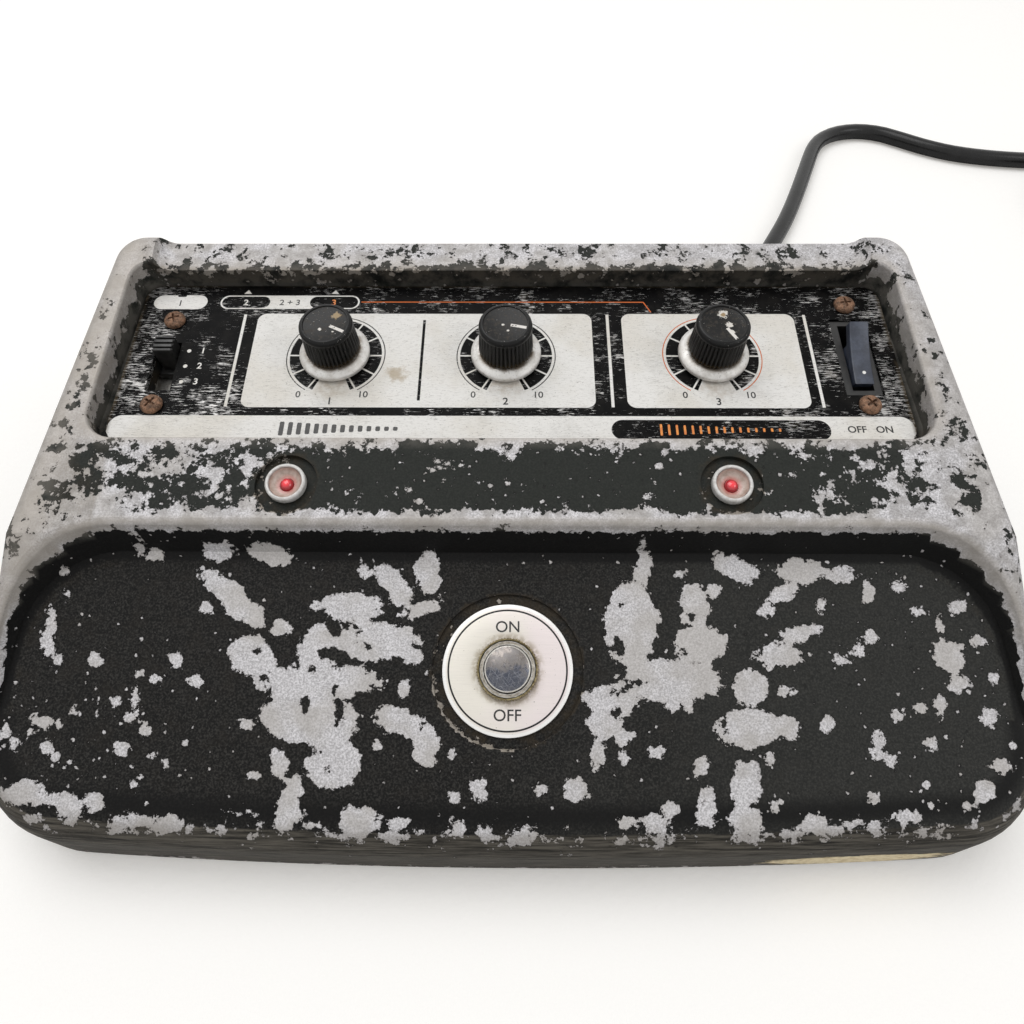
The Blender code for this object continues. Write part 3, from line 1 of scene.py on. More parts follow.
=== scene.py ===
"""The looks of a worn, mains powered delay pedal, laid out as a Blender add-on.

Every piece is modelled in the frame's own metres, where the frame's solids are. Finishes are worked
out in millimetres, from a place on the piece at rest.
"""

import math
from functools import reduce

import bmesh
import bpy
import numpy as np
from mathutils import Matrix, Vector


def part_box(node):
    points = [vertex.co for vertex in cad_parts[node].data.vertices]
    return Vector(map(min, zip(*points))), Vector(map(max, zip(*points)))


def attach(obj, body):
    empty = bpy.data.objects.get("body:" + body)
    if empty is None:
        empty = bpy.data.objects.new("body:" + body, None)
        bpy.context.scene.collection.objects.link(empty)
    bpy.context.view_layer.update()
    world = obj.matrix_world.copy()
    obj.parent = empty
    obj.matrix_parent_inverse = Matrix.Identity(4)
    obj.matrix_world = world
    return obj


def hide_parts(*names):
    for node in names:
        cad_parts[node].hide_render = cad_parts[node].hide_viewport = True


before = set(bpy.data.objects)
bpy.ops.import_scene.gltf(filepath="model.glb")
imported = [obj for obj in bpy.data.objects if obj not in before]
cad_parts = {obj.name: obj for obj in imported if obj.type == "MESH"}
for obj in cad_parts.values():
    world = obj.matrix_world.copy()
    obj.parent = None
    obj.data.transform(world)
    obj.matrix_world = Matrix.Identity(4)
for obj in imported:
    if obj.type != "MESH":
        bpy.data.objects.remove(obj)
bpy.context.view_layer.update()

bl_info = {
    "name": "Worn delay pedal",
    "version": (1, 0, 0),
    "blender": (4, 5, 0),
    "location": "3D View > Sidebar > Pedal",
    "description": "Builds the case, panel, dials, switches, sockets and cord of a worn floor pedal",
    "category": "Add Mesh",
}

MM = 0.001
GAP = 0.3 * MM
OVERRUN = 5.0 * MM
SHARP_ANGLE = math.radians(35.0)
CASE_SHARP_ANGLE = math.radians(28.0)
CAP_SHARP_ANGLE = math.radians(40.0)
PRINT_LIFT = 0.02 * MM
DISC_PRINT_LIFT = 0.32 * MM

# Case
CASE_FRONT_WIDTH = 264.0 * MM
CASE_REAR_WIDTH = 230.0 * MM
CASE_DEPTH = 158.5 * MM
CASE_BOTTOM_Z = 4.0 * MM
CASE_WALL = 3.5 * MM
CASE_ROOF = 3.0 * MM
FRONT_BOW = 4.5 * MM
FRONT_CORNER_RADIUS = 24.0 * MM
REAR_CORNER_RADIUS = 9.0 * MM
RIM_EDGE_RADIUS = 4.0 * MM
TREAD_EDGE_RADIUS = 6.5 * MM
CREST_EDGE_RADIUS = 1.6 * MM
SOCKET_PROUD = 3.5 * MM
PANEL_TILT = math.radians(8.0)
RIM_TILT = math.radians(12.8)
SHOULDER_TILT = math.radians(31.0)
TREAD_TILT = math.radians(19.0)
CREST_Z = 56.0 * MM
CREST_FROM_FRONT = 68.7 * MM
CREST_HALF_WIDTH = 123.0 * MM
CREST_CORNER_RADIUS = 25.5 * MM
CREST_WALL_DRAFT = 2.0 * MM
CREST_WALL_SINK = 1.0 * MM
ARM_FLARE = 2.0 * MM
ARM_LENGTH = 40.0 * MM
ARM_END_SLANT = 8.0 * MM
ARM_END_RADIUS = 6.0 * MM
TREAD_WIDTH_SHARE = 0.9985
BOSS_LIFT = 0.2 * MM
SHOULDER_FROM_CREST = 2.5 * MM
PLATE_THICKNESS = 1.5 * MM
WEAR_GRID = 2.5 * MM
WEAR_GRID_SHIFT_SHARE = 0.37
TREAD_GRID = 1.1 * MM
TREAD_GRID_SHIFT_SHARE = 0.21
UNTOUCHED = -9.0

# Panel and its recess, in the panel's frame
DIAL_ROW_FROM_REAR = 36.0 * MM
DIAL_ROW_Z = 61.0 * MM
PANEL_THICKNESS = 1.5 * MM
RECESS_REAR_HALF_WIDTH = 108.8 * MM
RECESS_FRONT_HALF_WIDTH = 111.6 * MM
RECESS_REAR = 26.4 * MM
RECESS_FRONT = -30.0 * MM
RECESS_FRONT_CORNER_RADIUS = 8.0 * MM
RECESS_REAR_CORNER_RADIUS = 5.2 * MM
RECESS_LIP_RADIUS = 1.2 * MM
RECESS_LIP_SWEEP = math.radians(80.0)
BACK_RIM_HEIGHT = 6.0 * MM
BACK_RIM_HALF_WIDTH = 104.0 * MM
BACK_RIM_END_RADIUS = 5.0 * MM

# Places of the pieces on the panel, the ridge and the tread
DIALS = (("left", -49.2 * MM, 117.0), ("middle", -1.1 * MM, 102.0), ("right", 56.9 * MM, 150.0))
PANEL_SCREWS = (
    ("rear_left", -97.3 * MM, 12.3 * MM, 20.0),
    ("front_left", -97.3 * MM, -17.3 * MM, 55.0),
    ("rear_right", 97.3 * MM, 18.3 * MM, 5.0),
    ("front_right", 97.3 * MM, -17.0 * MM, 35.0),
)
LEVEL_X = -97.3 * MM
LEVEL_Y = -3.8 * MM
LEVEL_STEP = 5.4 * MM
POWER_X = 97.3 * MM
LAMP_X = 56.0 * MM
LAMP_FROM_CREST = 10.5 * MM
FOOTSWITCH_FROM_FRONT = 39.2 * MM
FOOTSWITCH_Z = 35.9 * MM
DISC_POCKET_RADIUS = 18.6 * MM
DISC_POCKET_DEPTH = 0.8 * MM
SOCKETS = (("input", -97.0 * MM), ("output_direct", -76.0 * MM), ("output_mixed", -54.0 * MM))
SOCKET_Z = 32.0 * MM
GLAND_X = 91.0 * MM
GLAND_Z = 17.0 * MM
FOOT_INSET_X = 16.0 * MM
FOOT_INSET_FRONT = 20.0 * MM
FOOT_INSET_REAR = 40.0 * MM

# Cord
CORD_DIAMETER = 7.2 * MM
CORD_LENGTH = 1800.0 * MM
CORD_STEP = 5.0 * MM
COIL_TURNS_IN = 2.25
COIL_TURNS_CLIMBING = 0.5
COIL_TURNS_OUT = 2.5
COIL_CORDS_ACROSS = 12
COIL_GAP = 0.7 * MM
COIL_POINTS_PER_TURN = 60
PLUG_HEIGHT = 16.0 * MM

# Places that follow from the sizes above
FRONT_Y = -(CASE_DEPTH + SOCKET_PROUD) / 2
REAR_Y = FRONT_Y + CASE_DEPTH
DIAL_ROW_Y = REAR_Y - DIAL_ROW_FROM_REAR
CREST_Y = FRONT_Y + CREST_FROM_FRONT
FOOTSWITCH_Y = FRONT_Y + FOOTSWITCH_FROM_FRONT
LAMP_Y = CREST_Y + LAMP_FROM_CREST
CORD_RADIUS = CORD_DIAMETER / 2

# The cord's route from the strain relief's tip to the coil, in the object's own frame
CORD_ROUTE = (
    (91.0 * MM, 101.8 * MM, 17.0 * MM),
    (91.0 * MM, 110.0 * MM, 17.0 * MM),
    (91.2 * MM, 118.0 * MM, 16.4 * MM),
    (93.5 * MM, 130.0 * MM, 12.0 * MM),
    (98.5 * MM, 143.0 * MM, 6.2 * MM),
    (106.5 * MM, 158.0 * MM, 3.7 * MM),
    (116.5 * MM, 175.5 * MM, 3.7 * MM),
    (127.0 * MM, 195.0 * MM, 3.7 * MM),
    (137.0 * MM, 217.0 * MM, 3.7 * MM),
    (146.0 * MM, 238.5 * MM, 3.7 * MM),
    (153.5 * MM, 256.0 * MM, 3.7 * MM),
    (159.7 * MM, 265.2 * MM, 3.7 * MM),
    (168.9 * MM, 271.4 * MM, 3.7 * MM),
    (180.2 * MM, 273.7 * MM, 3.7 * MM),
    (191.1 * MM, 271.6 * MM, 3.7 * MM),
    (200.5 * MM, 265.8 * MM, 3.7 * MM),
    (211.0 * MM, 258.5 * MM, 3.7 * MM),
    (224.0 * MM, 252.0 * MM, 3.7 * MM),
    (241.0 * MM, 247.6 * MM, 3.7 * MM),
    (260.0 * MM, 245.2 * MM, 3.7 * MM),
    (283.0 * MM, 244.0 * MM, 3.7 * MM),
    (302.0 * MM, 244.0 * MM, 3.7 * MM),
)

# Screws: radius, length, head's radius and head's height, in millimetres
PANEL_SCREW_SIZE = (1.5, 6.0, 3.0, 1.7)
FOOT_SCREW_SIZE = (2.0, 12.0, 3.8, 1.4)

# Printed boxes on the panel: middle, half sizes and corner radius, in millimetres
PRINTED_FIELDS = {
    "white": (((-25.0, -1.15), (48.5, 16.55), 2.6), ((57.05, -1.15), (24.95, 16.55), 2.6),
              ((0.0, -24.6), (107.9, 4.2), 3.4), ((-97.5, 19.8), (7.9, 2.7), 2.7),
              ((-65.1, 19.8), (20.6, 2.6), 2.6), ((-77.4, -1.2), (0.42, 16.3), 0.05),
              ((28.1, -1.2), (0.42, 16.3), 0.05), ((85.1, -1.2), (0.42, 16.3), 0.05),
              ((-91.2, 1.6), (0.6, 0.6), 0.6), ((-91.2, -3.8), (0.6, 0.6), 0.6),
              ((-91.2, -9.2), (0.6, 0.6), 0.6)),
    "dark": (((56.4, -24.75), (29.1, 3.15), 3.1), ((-24.9, -1.2), (0.4, 14.2), 0.05),
             ((-78.1, 19.8), (7.1, 2.2), 2.2), ((-52.1, 19.8), (7.1, 2.2), 2.2),
             ((-97.5, 22.6), (1.3, 0.75), 0.4)),
    "orange": (((-2.5, 19.9), (41.5, 0.17), 0.05),),
}

# Camera, fitted to the photograph
CAMERA_PLACE = (2.5 * MM, -111.3 * MM, 203.1 * MM)
CAMERA_PITCH = math.radians(26.89)
CAMERA_SWING = math.radians(1.11)
CAMERA_ROLL = math.radians(-0.8)
SENSOR_WIDTH = 36.0
PHOTO_SIZE = 1024
PHOTO_FOCAL = 722.9
PHOTO_PIXELS_PER_MM = 3.8

# Places where the paint has come off the tread, read in the photograph's pixels:
# middle, half width, half height and turn in degrees, clockwise
CHIPS = (
    (140, 545, 5, 8, 0), (157, 555, 8, 7, 0), (219, 551, 18, 10, 0), (270, 554, 24, 10, 15),
    (222, 588, 26, 12, 35), (245, 609, 22, 14, 35), (206, 607, 6, 7, 0), (252, 656, 26, 20, 20),
    (281, 627, 10, 7, 0), (315, 645, 24, 15, -60), (350, 606, 33, 14, 0), (378, 641, 42, 19, 0),
    (393, 583, 26, 12, 50), (419, 609, 20, 7, -15), (428, 573, 13, 22, 0), (364, 569, 5, 7, 0),
    (320, 682, 62, 20, 0), (310, 718, 50, 28, 0), (333, 762, 28, 28, 0), (281, 763, 8, 14, 0),
    (290, 805, 11, 26, 10), (360, 822, 22, 16, 15), (400, 722, 26, 15, 20), (425, 745, 14, 20, 0),
    (410, 655, 11, 9, 0), (405, 690, 7, 9, 0), (377, 746, 5, 5, 0), (452, 754, 5, 6, 0),
    (478, 790, 9, 12, 0), (454, 797, 7, 7, 0), (95, 660, 8, 8, 0), (176, 660, 7, 7, 0), (140, 673, 5, 5, 0),
    (154, 681, 6, 5, 0), (196, 682, 7, 7, 0), (47, 643, 8, 10, 0), (52, 625, 5, 16, 0), (59, 661, 4, 5, 0),
    (114, 700, 8, 5, 0), (75, 712, 5, 5, 0), (98, 702, 3, 9, 0), (136, 700, 4, 12, 0), (129, 717, 6, 6, 0),
    (144, 730, 5, 7, 0), (122, 746, 9, 9, 0), (155, 756, 4, 4, 0), (167, 764, 3, 5, 0), (42, 722, 9, 8, 0),
    (33, 733, 5, 5, 0), (60, 727, 3, 8, 0), (46, 746, 8, 8, 0), (15, 741, 5, 9, 0), (5, 730, 6, 7, 0),
    (247, 725, 7, 6, 0), (253, 775, 7, 4, 0), (25, 793, 22, 14, 0), (62, 803, 20, 11, 15),
    (95, 803, 12, 10, 0), (134, 787, 5, 5, 0), (140, 823, 15, 5, 0), (170, 826, 13, 5, 0),
    (240, 813, 9, 4, 0), (313, 824, 10, 7, 0), (397, 823, 9, 6, 0), (421, 831, 10, 5, 0),
    (457, 829, 8, 10, 0), (65, 570, 5, 6, 0), (67, 594, 4, 5, 0), (643, 565, 9, 20, 0),
    (632, 625, 28, 42, 0), (694, 612, 14, 30, 0), (714, 591, 9, 7, 0), (700, 645, 26, 20, 0),
    (672, 680, 52, 22, 0), (735, 567, 24, 12, 25), (800, 572, 24, 13, 0), (841, 575, 16, 8, 0),
    (782, 594, 16, 9, -15), (680, 573, 6, 5, 0), (767, 610, 8, 8, 0), (821, 607, 6, 7, 0),
    (868, 592, 5, 11, 0), (899, 586, 6, 6, 0), (920, 612, 7, 5, 0), (958, 607, 10, 7, 0),
    (940, 628, 4, 7, 0), (871, 636, 5, 9, 0), (860, 651, 6, 9, 0), (842, 659, 10, 6, 0),
    (800, 634, 24, 9, -20), (780, 655, 24, 11, 0), (950, 658, 15, 20, -30), (977, 641, 8, 7, 0),
    (956, 685, 12, 8, 0), (994, 680, 5, 7, 0), (786, 691, 9, 6, 0), (750, 687, 20, 17, 0),
    (610, 700, 26, 18, 0), (605, 725, 18, 14, 0), (598, 754, 7, 15, 0), (626, 736, 10, 7, 0),
    (671, 703, 9, 9, 0), (688, 699, 6, 11, 0), (750, 728, 34, 20, 0), (783, 728, 16, 12, 0),
    (656, 753, 8, 7, 0), (623, 757, 5, 6, 0), (701, 766, 8, 9, 0), (770, 759, 5, 8, 0), (827, 725, 9, 9, 0),
    (878, 746, 7, 12, 0), (892, 761, 6, 5, 0), (900, 715, 9, 5, 0), (940, 707, 5, 10, 0),
    (920, 707, 5, 4, 0), (989, 717, 9, 10, 0), (931, 744, 7, 6, 0), (1002, 766, 11, 7, 0),
    (747, 784, 15, 24, 0), (708, 793, 7, 10, 0), (708, 816, 11, 18, 0), (745, 819, 17, 14, 0),
    (776, 806, 6, 8, 0), (874, 799, 9, 6, 0), (985, 793, 12, 14, 0), (576, 790, 13, 12, 0),
    (540, 790, 6, 6, 0), (672, 811, 9, 7, 0), (656, 823, 14, 9, 0), (628, 824, 8, 6, 0),
    (814, 821, 12, 8, 0), (855, 823, 10, 8, 0), (825, 831, 30, 4, 0), (900, 820, 12, 9, 0),
    (918, 820, 9, 7, 0), (943, 825, 6, 6, 0), (881, 828, 12, 5, 0),
)

# Islands of paint that stand in the large bare places, in the same order of numbers
ISLANDS = (
    (306, 705, 5, 8, 0), (338, 713, 6, 11, 0), (305, 752, 12, 8, 0), (334, 698, 2, 6, 0),
    (328, 653, 9, 5, -20), (360, 646, 7, 3, 0), (341, 666, 5, 3, 0), (362, 696, 5, 4, 0),
    (358, 627, 5, 5, 0), (336, 629, 6, 9, 0), (390, 609, 10, 7, 0), (256, 653, 5, 4, 0),
    (312, 668, 6, 4, 0), (328, 768, 4, 3, 0), (241, 624, 5, 4, 0), (619, 647, 6, 11, 0),
    (615, 604, 4, 2, 0), (628, 688, 12, 5, -25), (662, 635, 3, 8, 0), (675, 632, 10, 3, -40),
    (684, 653, 3, 4, 0), (693, 617, 3, 2, 0), (724, 724, 3, 5, 0), (616, 712, 6, 6, 0),
)


class Value:
    """A shader value; sums and products of it add their own Math nodes."""

    def __init__(self, finish, socket):
        self.finish = finish
        self.socket = socket

    def __add__(self, other):
        return self.finish.maths("ADD", self, other)

    def __sub__(self, other):
        return self.finish.maths("SUBTRACT", self, other)

    def __rsub__(self, other):
        return self.finish.maths("SUBTRACT", other, self)

    def __mul__(self, other):
        return self.finish.maths("MULTIPLY", self, other)

    def __truediv__(self, other):
        return self.finish.maths("DIVIDE", self, other)

    def __rtruediv__(self, other):
        return self.finish.maths("DIVIDE", other, self)

    def __abs__(self):
        return self.finish.maths("ABSOLUTE", self)

    __radd__ = __add__
    __rmul__ = __mul__


class Finish:
    """One material and the nodes that make it up. Its places are in millimetres."""

    def __init__(self, name):
        self.material = bpy.data.materials.new(name)
        self.material.use_nodes = True
        self.tree = self.material.node_tree
        self.shader = self.tree.nodes["Principled BSDF"]

    def node(self, kind, settings=None, sockets=None, output=0):
        """Add one node: its settings first, then the values or links of its sockets."""
        made = self.tree.nodes.new(kind)
        for name, setting in (settings or {}).items():
            setattr(made, name, setting)
        for name, value in (sockets or {}).items():
            self.feed(made.inputs[name], value)
        return Value(self, made.outputs[output])

    def feed(self, socket, value):
        """Link a value to a socket, or set the socket to a plain number, colour or vector."""
        if isinstance(value, Value):
            self.tree.links.new(value.socket, socket)
        elif socket.type == "RGBA":
            socket.default_value = (*value, 1.0)
        else:
            socket.default_value = value

    def maths(self, operation, first, second=0.0):
        return self.node("ShaderNodeMath", {"operation": operation}, {0: first, 1: second})

    def vector(self, operation, first, second=None, output=0):
        sockets = {0: first}
        if second is not None:
            sockets["Scale" if operation == "SCALE" else 1] = second
        return self.node("ShaderNodeVectorMath", {"operation": operation}, sockets, output)

    def least(self, first, second):
        return self.maths("MINIMUM", first, second)

    def most(self, first, second):
        return self.maths("MAXIMUM", first, second)

    def ramp(self, value, low, high):
        """A soft step from 0 at low to 1 at high."""
        settings = {"interpolation_type": "SMOOTHSTEP", "clamp": True}
        return self.node("ShaderNodeMapRange", settings, {0: value, 1: low, 2: high})

    def place(self):
        """The place on the piece at rest, in millimetres."""
        where = self.node("ShaderNodeTexCoord", output="Object")
        return self.vector("SCALE", where, 1 / MM)

    def combine(self, x, y, z=0.0):
        return self.node("ShaderNodeCombineXYZ", None, {0: x, 1: y, 2: z})

    def parts(self, vector):
        split = self.node("ShaderNodeSeparateXYZ", None, {0: vector})
        outputs = split.socket.node.outputs
        return [Value(self, outputs[index]) for index in range(3)]

    def in_frame(self, at, tilt_frame):
        """Coordinates in a tilted frame of the object, in millimetres."""
        origin, across, along, up = tilt_frame
        local = self.vector("SUBTRACT", at, tuple(value / MM for value in origin))
        return [self.vector("DOT_PRODUCT", local, tuple(axis), "Value") for axis in (across, along, up)]

    def noise(self, at, size, detail=4.0, roughness=0.55, distortion=0.0):
        sockets = {"Vector": at, "Scale": 1 / size, "Detail": detail, "Roughness": roughness,
                   "Distortion": distortion}
        return self.node("ShaderNodeTexNoise", None, sockets)

    def patches(self, at, size, detail, roughness, low, high):
        """Soft edged patches: 0 where a noise is under low, 1 where it is over high."""
        return self.ramp(self.noise(at, size, detail, roughness), low, high)

    def length(self, vector):
        return self.vector("LENGTH", vector, None, "Value")

    def distance(self, at, point):
        return self.vector("DISTANCE", at, point, "Value")

    def streaks(self, at, lengths, detail=4.0, roughness=0.55):
        """Noise drawn out along the axes by its own length on each."""
        stretched = self.vector("DIVIDE", at, lengths)
        return self.noise(stretched, 1.0, detail, roughness)

    def cells(self, at, size, output="Distance"):
        return self.node("ShaderNodeTexVoronoi", None, {"Vector": at, "Scale": 1 / size}, output)

    def carried(self, name):
        """A value that the mesh itself carries at its points."""
        return self.node("ShaderNodeAttribute", {"attribute_name": name}, None, "Fac")

    def mix(self, share, first, second):
        """Blend two colours; a share of 1 gives the second."""
        sockets = {0: share, 6: first, 7: second}
        return self.node("ShaderNodeMix", {"data_type": "RGBA", "clamp_factor": True}, sockets, 2)

    def bump(self, height, depth, below=None):
        """Raise the surface by a height from 0 to 1 times a depth in millimetres."""
        sockets = {"Height": height, "Distance": depth * MM, "Strength": 1.0}
        if below is not None:
            sockets["Normal"] = below
        return self.node("ShaderNodeBump", None, sockets)

    def done(self, colour, roughness=0.5, metallic=0.0, normal=None, coat=0.0, coat_roughness=0.1,
             specular=0.5):
        """Set the shader's sockets and hand over the material."""
        self.feed(self.shader.inputs["Base Color"], colour)
        self.feed(self.shader.inputs["Roughness"], roughness)
        self.feed(self.shader.inputs["Metallic"], metallic)
        self.shader.inputs["Specular IOR Level"].default_value = specular
        self.shader.inputs["Coat Weight"].default_value = coat
        self.shader.inputs["Coat Roughness"].default_value = coat_roughness
        if normal is not None:
            self.feed(self.shader.inputs["Normal"], normal)
        return self.material


def tilted(y, z, tilt):
    """Origin and axes of a face that rises to the back."""
    across = Vector((1.0, 0.0, 0.0))
    along = Vector((0.0, math.cos(tilt), math.sin(tilt)))
    return Vector((0.0, y, z)), across, along, across.cross(along)


def plane(y, z, tilt):
    """Height over the floor of a plane that rises to the back."""
    slope = math.tan(tilt)
    return lambda _x, at_y: z + (at_y - y) * slope


RIM_PLANE = plane(CREST_Y, CREST_Z, RIM_TILT)
TREAD_PLANE = plane(FOOTSWITCH_Y, FOOTSWITCH_Z, TREAD_TILT)
SHOULDER_Y = CREST_Y - SHOULDER_FROM_CREST
SHOULDER_PLANE = plane(SHOULDER_Y, RIM_PLANE(0.0, SHOULDER_Y), SHOULDER_TILT)
PANEL_FACE = tilted(DIAL_ROW_Y, DIAL_ROW_Z, PANEL_TILT)
RIDGE_FACE = tilted(LAMP_Y, RIM_PLANE(0.0, LAMP_Y), RIM_TILT)
TREAD_FACE = tilted(FOOTSWITCH_Y, FOOTSWITCH_Z, TREAD_TILT)


def on_face(face, x=0.0, y=0.0, height=0.0):
    """The matrix of a place on a tilted face: its own X, Y and Z are the face's."""
    origin, across, along, up = face
    matrix = Matrix((across, along, up)).transposed().to_4x4()
    matrix.translation = origin + across * x + along * y + up * height
    return matrix


def at_back(x, z):
    """The matrix of a place on the back wall; its Z points out to the back."""
    return Matrix.Translation((x, REAR_Y, z)) @ Matrix.Rotation(-math.pi / 2, 4, "X")


def camera_turn(swing, pitch, roll):
    """The camera's turn: the panel's tilt, then its swing, pitch and roll."""
    return (Matrix.Rotation(PANEL_TILT, 3, "X") @ Matrix.Rotation(swing, 3, "Z")
            @ Matrix.Rotation(pitch, 3, "X") @ Matrix.Rotation(roll, 3, "Z"))


def in_photo(points):
    """Where points given in metres lie in the photograph, in its pixels."""
    turn = np.array(camera_turn(CAMERA_SWING, CAMERA_PITCH, CAMERA_ROLL))
    across, up, back = ((points - np.array(CAMERA_PLACE)) @ turn).T
    middle = PHOTO_SIZE / 2
    return middle - PHOTO_FOCAL * across / back, middle + PHOTO_FOCAL * up / back


def piece(name, shape, matrix, finish, body="case", stands_for=()):
    """Turn a bmesh into a smooth shaded piece of the object that rides on a body."""
    return settle(dress(lump(name, shape, matrix), finish), body, stands_for)


def dress(item, finish, sharp=SHARP_ANGLE):
    """Shade an object smooth between its sharp edges and give it its one finish."""
    item.data.shade_smooth()
    item.data.set_sharp_from_angle(angle=sharp)
    item.data.materials.clear()
    item.data.materials.append(finish)
    return item


def settle(item, body, stands_for=()):
    """Let a finished piece ride on its body and stand for its solids."""
    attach(item, body)
    if stands_for:
        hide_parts(*stands_for)
    return item


def lump(name, shape, matrix=None):
    """Turn a bmesh into a plain object."""
    bmesh.ops.remove_doubles(shape, verts=shape.verts, dist=MM / 1000)
    bmesh.ops.recalc_face_normals(shape, faces=shape.faces)
    if matrix is not None:
        shape.transform(matrix)
    mesh = bpy.data.meshes.new(name)
    shape.to_mesh(mesh)
    shape.free()
    item = bpy.data.objects.new(name, mesh)
    bpy.context.scene.collection.objects.link(item)
    return item


def carve(item, steps):
    """Join lumps to an object or cut them from it, in order, and keep only the result."""
    for operation, other in steps:
        step = item.modifiers.new(other.name, "BOOLEAN")
        step.operation = operation
        step.solver = "EXACT"
        step.object = other
    bpy.context.view_layer.update()
    shaped = bpy.data.meshes.new_from_object(item.evaluated_get(bpy.context.evaluated_depsgraph_get()))
    item.modifiers.clear()
    old = item.data
    item.data = shaped
    bpy.data.meshes.remove(old)
    for other in {other for _operation, other in steps}:
        bpy.data.objects.remove(other, do_unlink=True)
    return item


def rings(ring_list, close=False):
    """Skin rings of points that all have the same count, and close the ends."""
    skin = bmesh.new()
    rows = [[skin.verts.new(point) for point in ring] for ring in ring_list]
    pairs = list(zip(rows, rows[1:]))
    if close:
        pairs.append((rows[-1], rows[0]))
    for lower, upper in pairs:
        count = len(lower)
        for index in range(count):
            following = (index + 1) % count
            skin.faces.new((lower[index], lower[following], upper[following], upper[index]))
    if not close:
        skin.faces.new(rows[0])
        skin.faces.new(rows[-1])
    return skin


def prism(outline, low, high):
    """Stand an outline up between two heights, each a number or a function of x and y."""
    def height(level, point):
        return level(*point) if callable(level) else level
    return rings([[(x, y, height(level, (x, y))) for x, y in outline] for level in (low, high)])


def circle(radius, height, count):
    """Points of a level circle."""
    angles = [2 * math.pi * index / count for index in range(count)]
    return [(radius * math.cos(angle), radius * math.sin(angle), height) for angle in angles]


def turned(profile, count=96, close=False):
    """Turn a profile of (radius, height) about the Z axis."""
    return rings([circle(radius, height, count) for radius, height in profile], close)


def sized(profile):
    """A profile given in millimetres, in metres."""
    return [(radius * MM, height * MM) for radius, height in profile]


def grooved(rows, teeth, steps, power=1.0, close=False):
    """Rings of radius, height and groove depth in millimetres, with grooves all round."""
    count = teeth * steps
    ring_list = []
    for radius, height, depth in rows:
        ring = []
        for index in range(count):
            angle = 2 * math.pi * index / count
            groove = depth * (0.5 - 0.5 * math.cos(2 * math.pi * index / steps)) ** power
            reach = (radius - groove) * MM
            ring.append((reach * math.cos(angle), reach * math.sin(angle), height * MM))
        ring_list.append(ring)
    return rings(ring_list, close)


def softened(profile, radius, steps=3, closed=True):
    """Round each corner of a profile with an arc of a radius, less where an edge is short."""
    soft = []
    total = len(profile)
    for index, point in enumerate(profile):
        if not closed and index in (0, total - 1):
            soft.append(tuple(point))
            continue
        here = Vector(point)
        to_last = Vector(profile[index - 1]) - here
        to_next = Vector(profile[(index + 1) % total]) - here
        reach = min(radius, to_last.length * 0.45, to_next.length * 0.45)
        start = here + to_last.normalized() * reach
        end = here + to_next.normalized() * reach
        for step in range(steps + 1):
            share = step / steps
            soft.append(tuple(start.lerp(here, share).lerp(here.lerp(end, share), share)))
    return soft


def rounded(corners, radii, count):
    """A closed outline whose corners are arcs; a radius of zero leaves a corner sharp."""
    outline = []
    total = len(corners)
    for index, (corner, radius) in enumerate(zip(corners, radii)):
        here = Vector(corner)
        if radius == 0.0:
            outline.append(tuple(here))
            continue
        before = (Vector(corners[index - 1]) - here).normalized()
        after = (Vector(corners[(index + 1) % total]) - here).normalized()
        half_angle = before.angle(after) / 2
        middle = here + (before + after).normalized() * (radius / math.sin(half_angle))
        start = here + before * (radius / math.tan(half_angle)) - middle
        end = here + after * (radius / math.tan(half_angle)) - middle
        sweep = start.angle_signed(end)
        for step in range(count + 1):
            arm = start.copy()
            arm.rotate(Matrix.Rotation(-sweep * step / count, 2))
            outline.append(tuple(middle + arm))
    return outline


def offset(outline, distance):
    """Move a closed anticlockwise outline outward, or inward when the distance is negative."""
    moved = []
    total = len(outline)
    for index in range(total):
        here = Vector(outline[index])
        before = (here - Vector(outline[index - 1])).normalized()
        after = (Vector(outline[(index + 1) % total]) - here).normalized()
        normal_before = Vector((before.y, -before.x))
        normal_after = Vector((after.y, -after.x))
        miter = (normal_before + normal_after).normalized()
        moved.append(tuple(here + miter * (distance / max(miter.dot(normal_before), 0.5))))
    return moved


def soft_box(size, edge, matrix=None):
    """A box with rounded edges, centred on its own origin."""
    box = bmesh.new()
    scale = Matrix.Diagonal((*size, 1.0))
    bmesh.ops.create_cube(box, size=1.0, matrix=scale)
    bmesh.ops.bevel(box, geom=box.edges[:], offset=edge, segments=3, profile=0.5, affect="EDGES")
    if matrix is not None:
        box.transform(matrix)
    return box


def case_half_width(y):
    """Half of the case's width at a depth."""
    share = (y - FRONT_Y) / CASE_DEPTH
    return (CASE_FRONT_WIDTH + (CASE_REAR_WIDTH - CASE_FRONT_WIDTH) * share) / 2


def case_outline():
    """The case from above, anticlockwise: bowed front, tapered sides, straight back."""
    bow_count = 24
    side_y = FRONT_Y + FRONT_BOW
    corners = [(-CASE_FRONT_WIDTH / 2, side_y)]
    radii = [FRONT_CORNER_RADIUS]
    for index in range(1, bow_count):
        share = 2 * index / bow_count - 1
        if abs(share) * CASE_FRONT_WIDTH / 2 > CASE_FRONT_WIDTH / 2 - FRONT_CORNER_RADIUS:
            continue
        corners.append((share * CASE_FRONT_WIDTH / 2, FRONT_Y + FRONT_BOW * share * share))
        radii.append(0.0)
    corners += [(CASE_FRONT_WIDTH / 2, side_y), (CASE_REAR_WIDTH / 2, REAR_Y), (-CASE_REAR_WIDTH / 2, REAR_Y)]
    radii += [FRONT_CORNER_RADIUS, REAR_CORNER_RADIUS, REAR_CORNER_RADIUS]
    return rounded(corners, radii, 14)


def on_plane(point, height_at):
    """Whether a point lies on a plane."""
    return abs(point.z - height_at(point.x, point.y)) < MM / 100


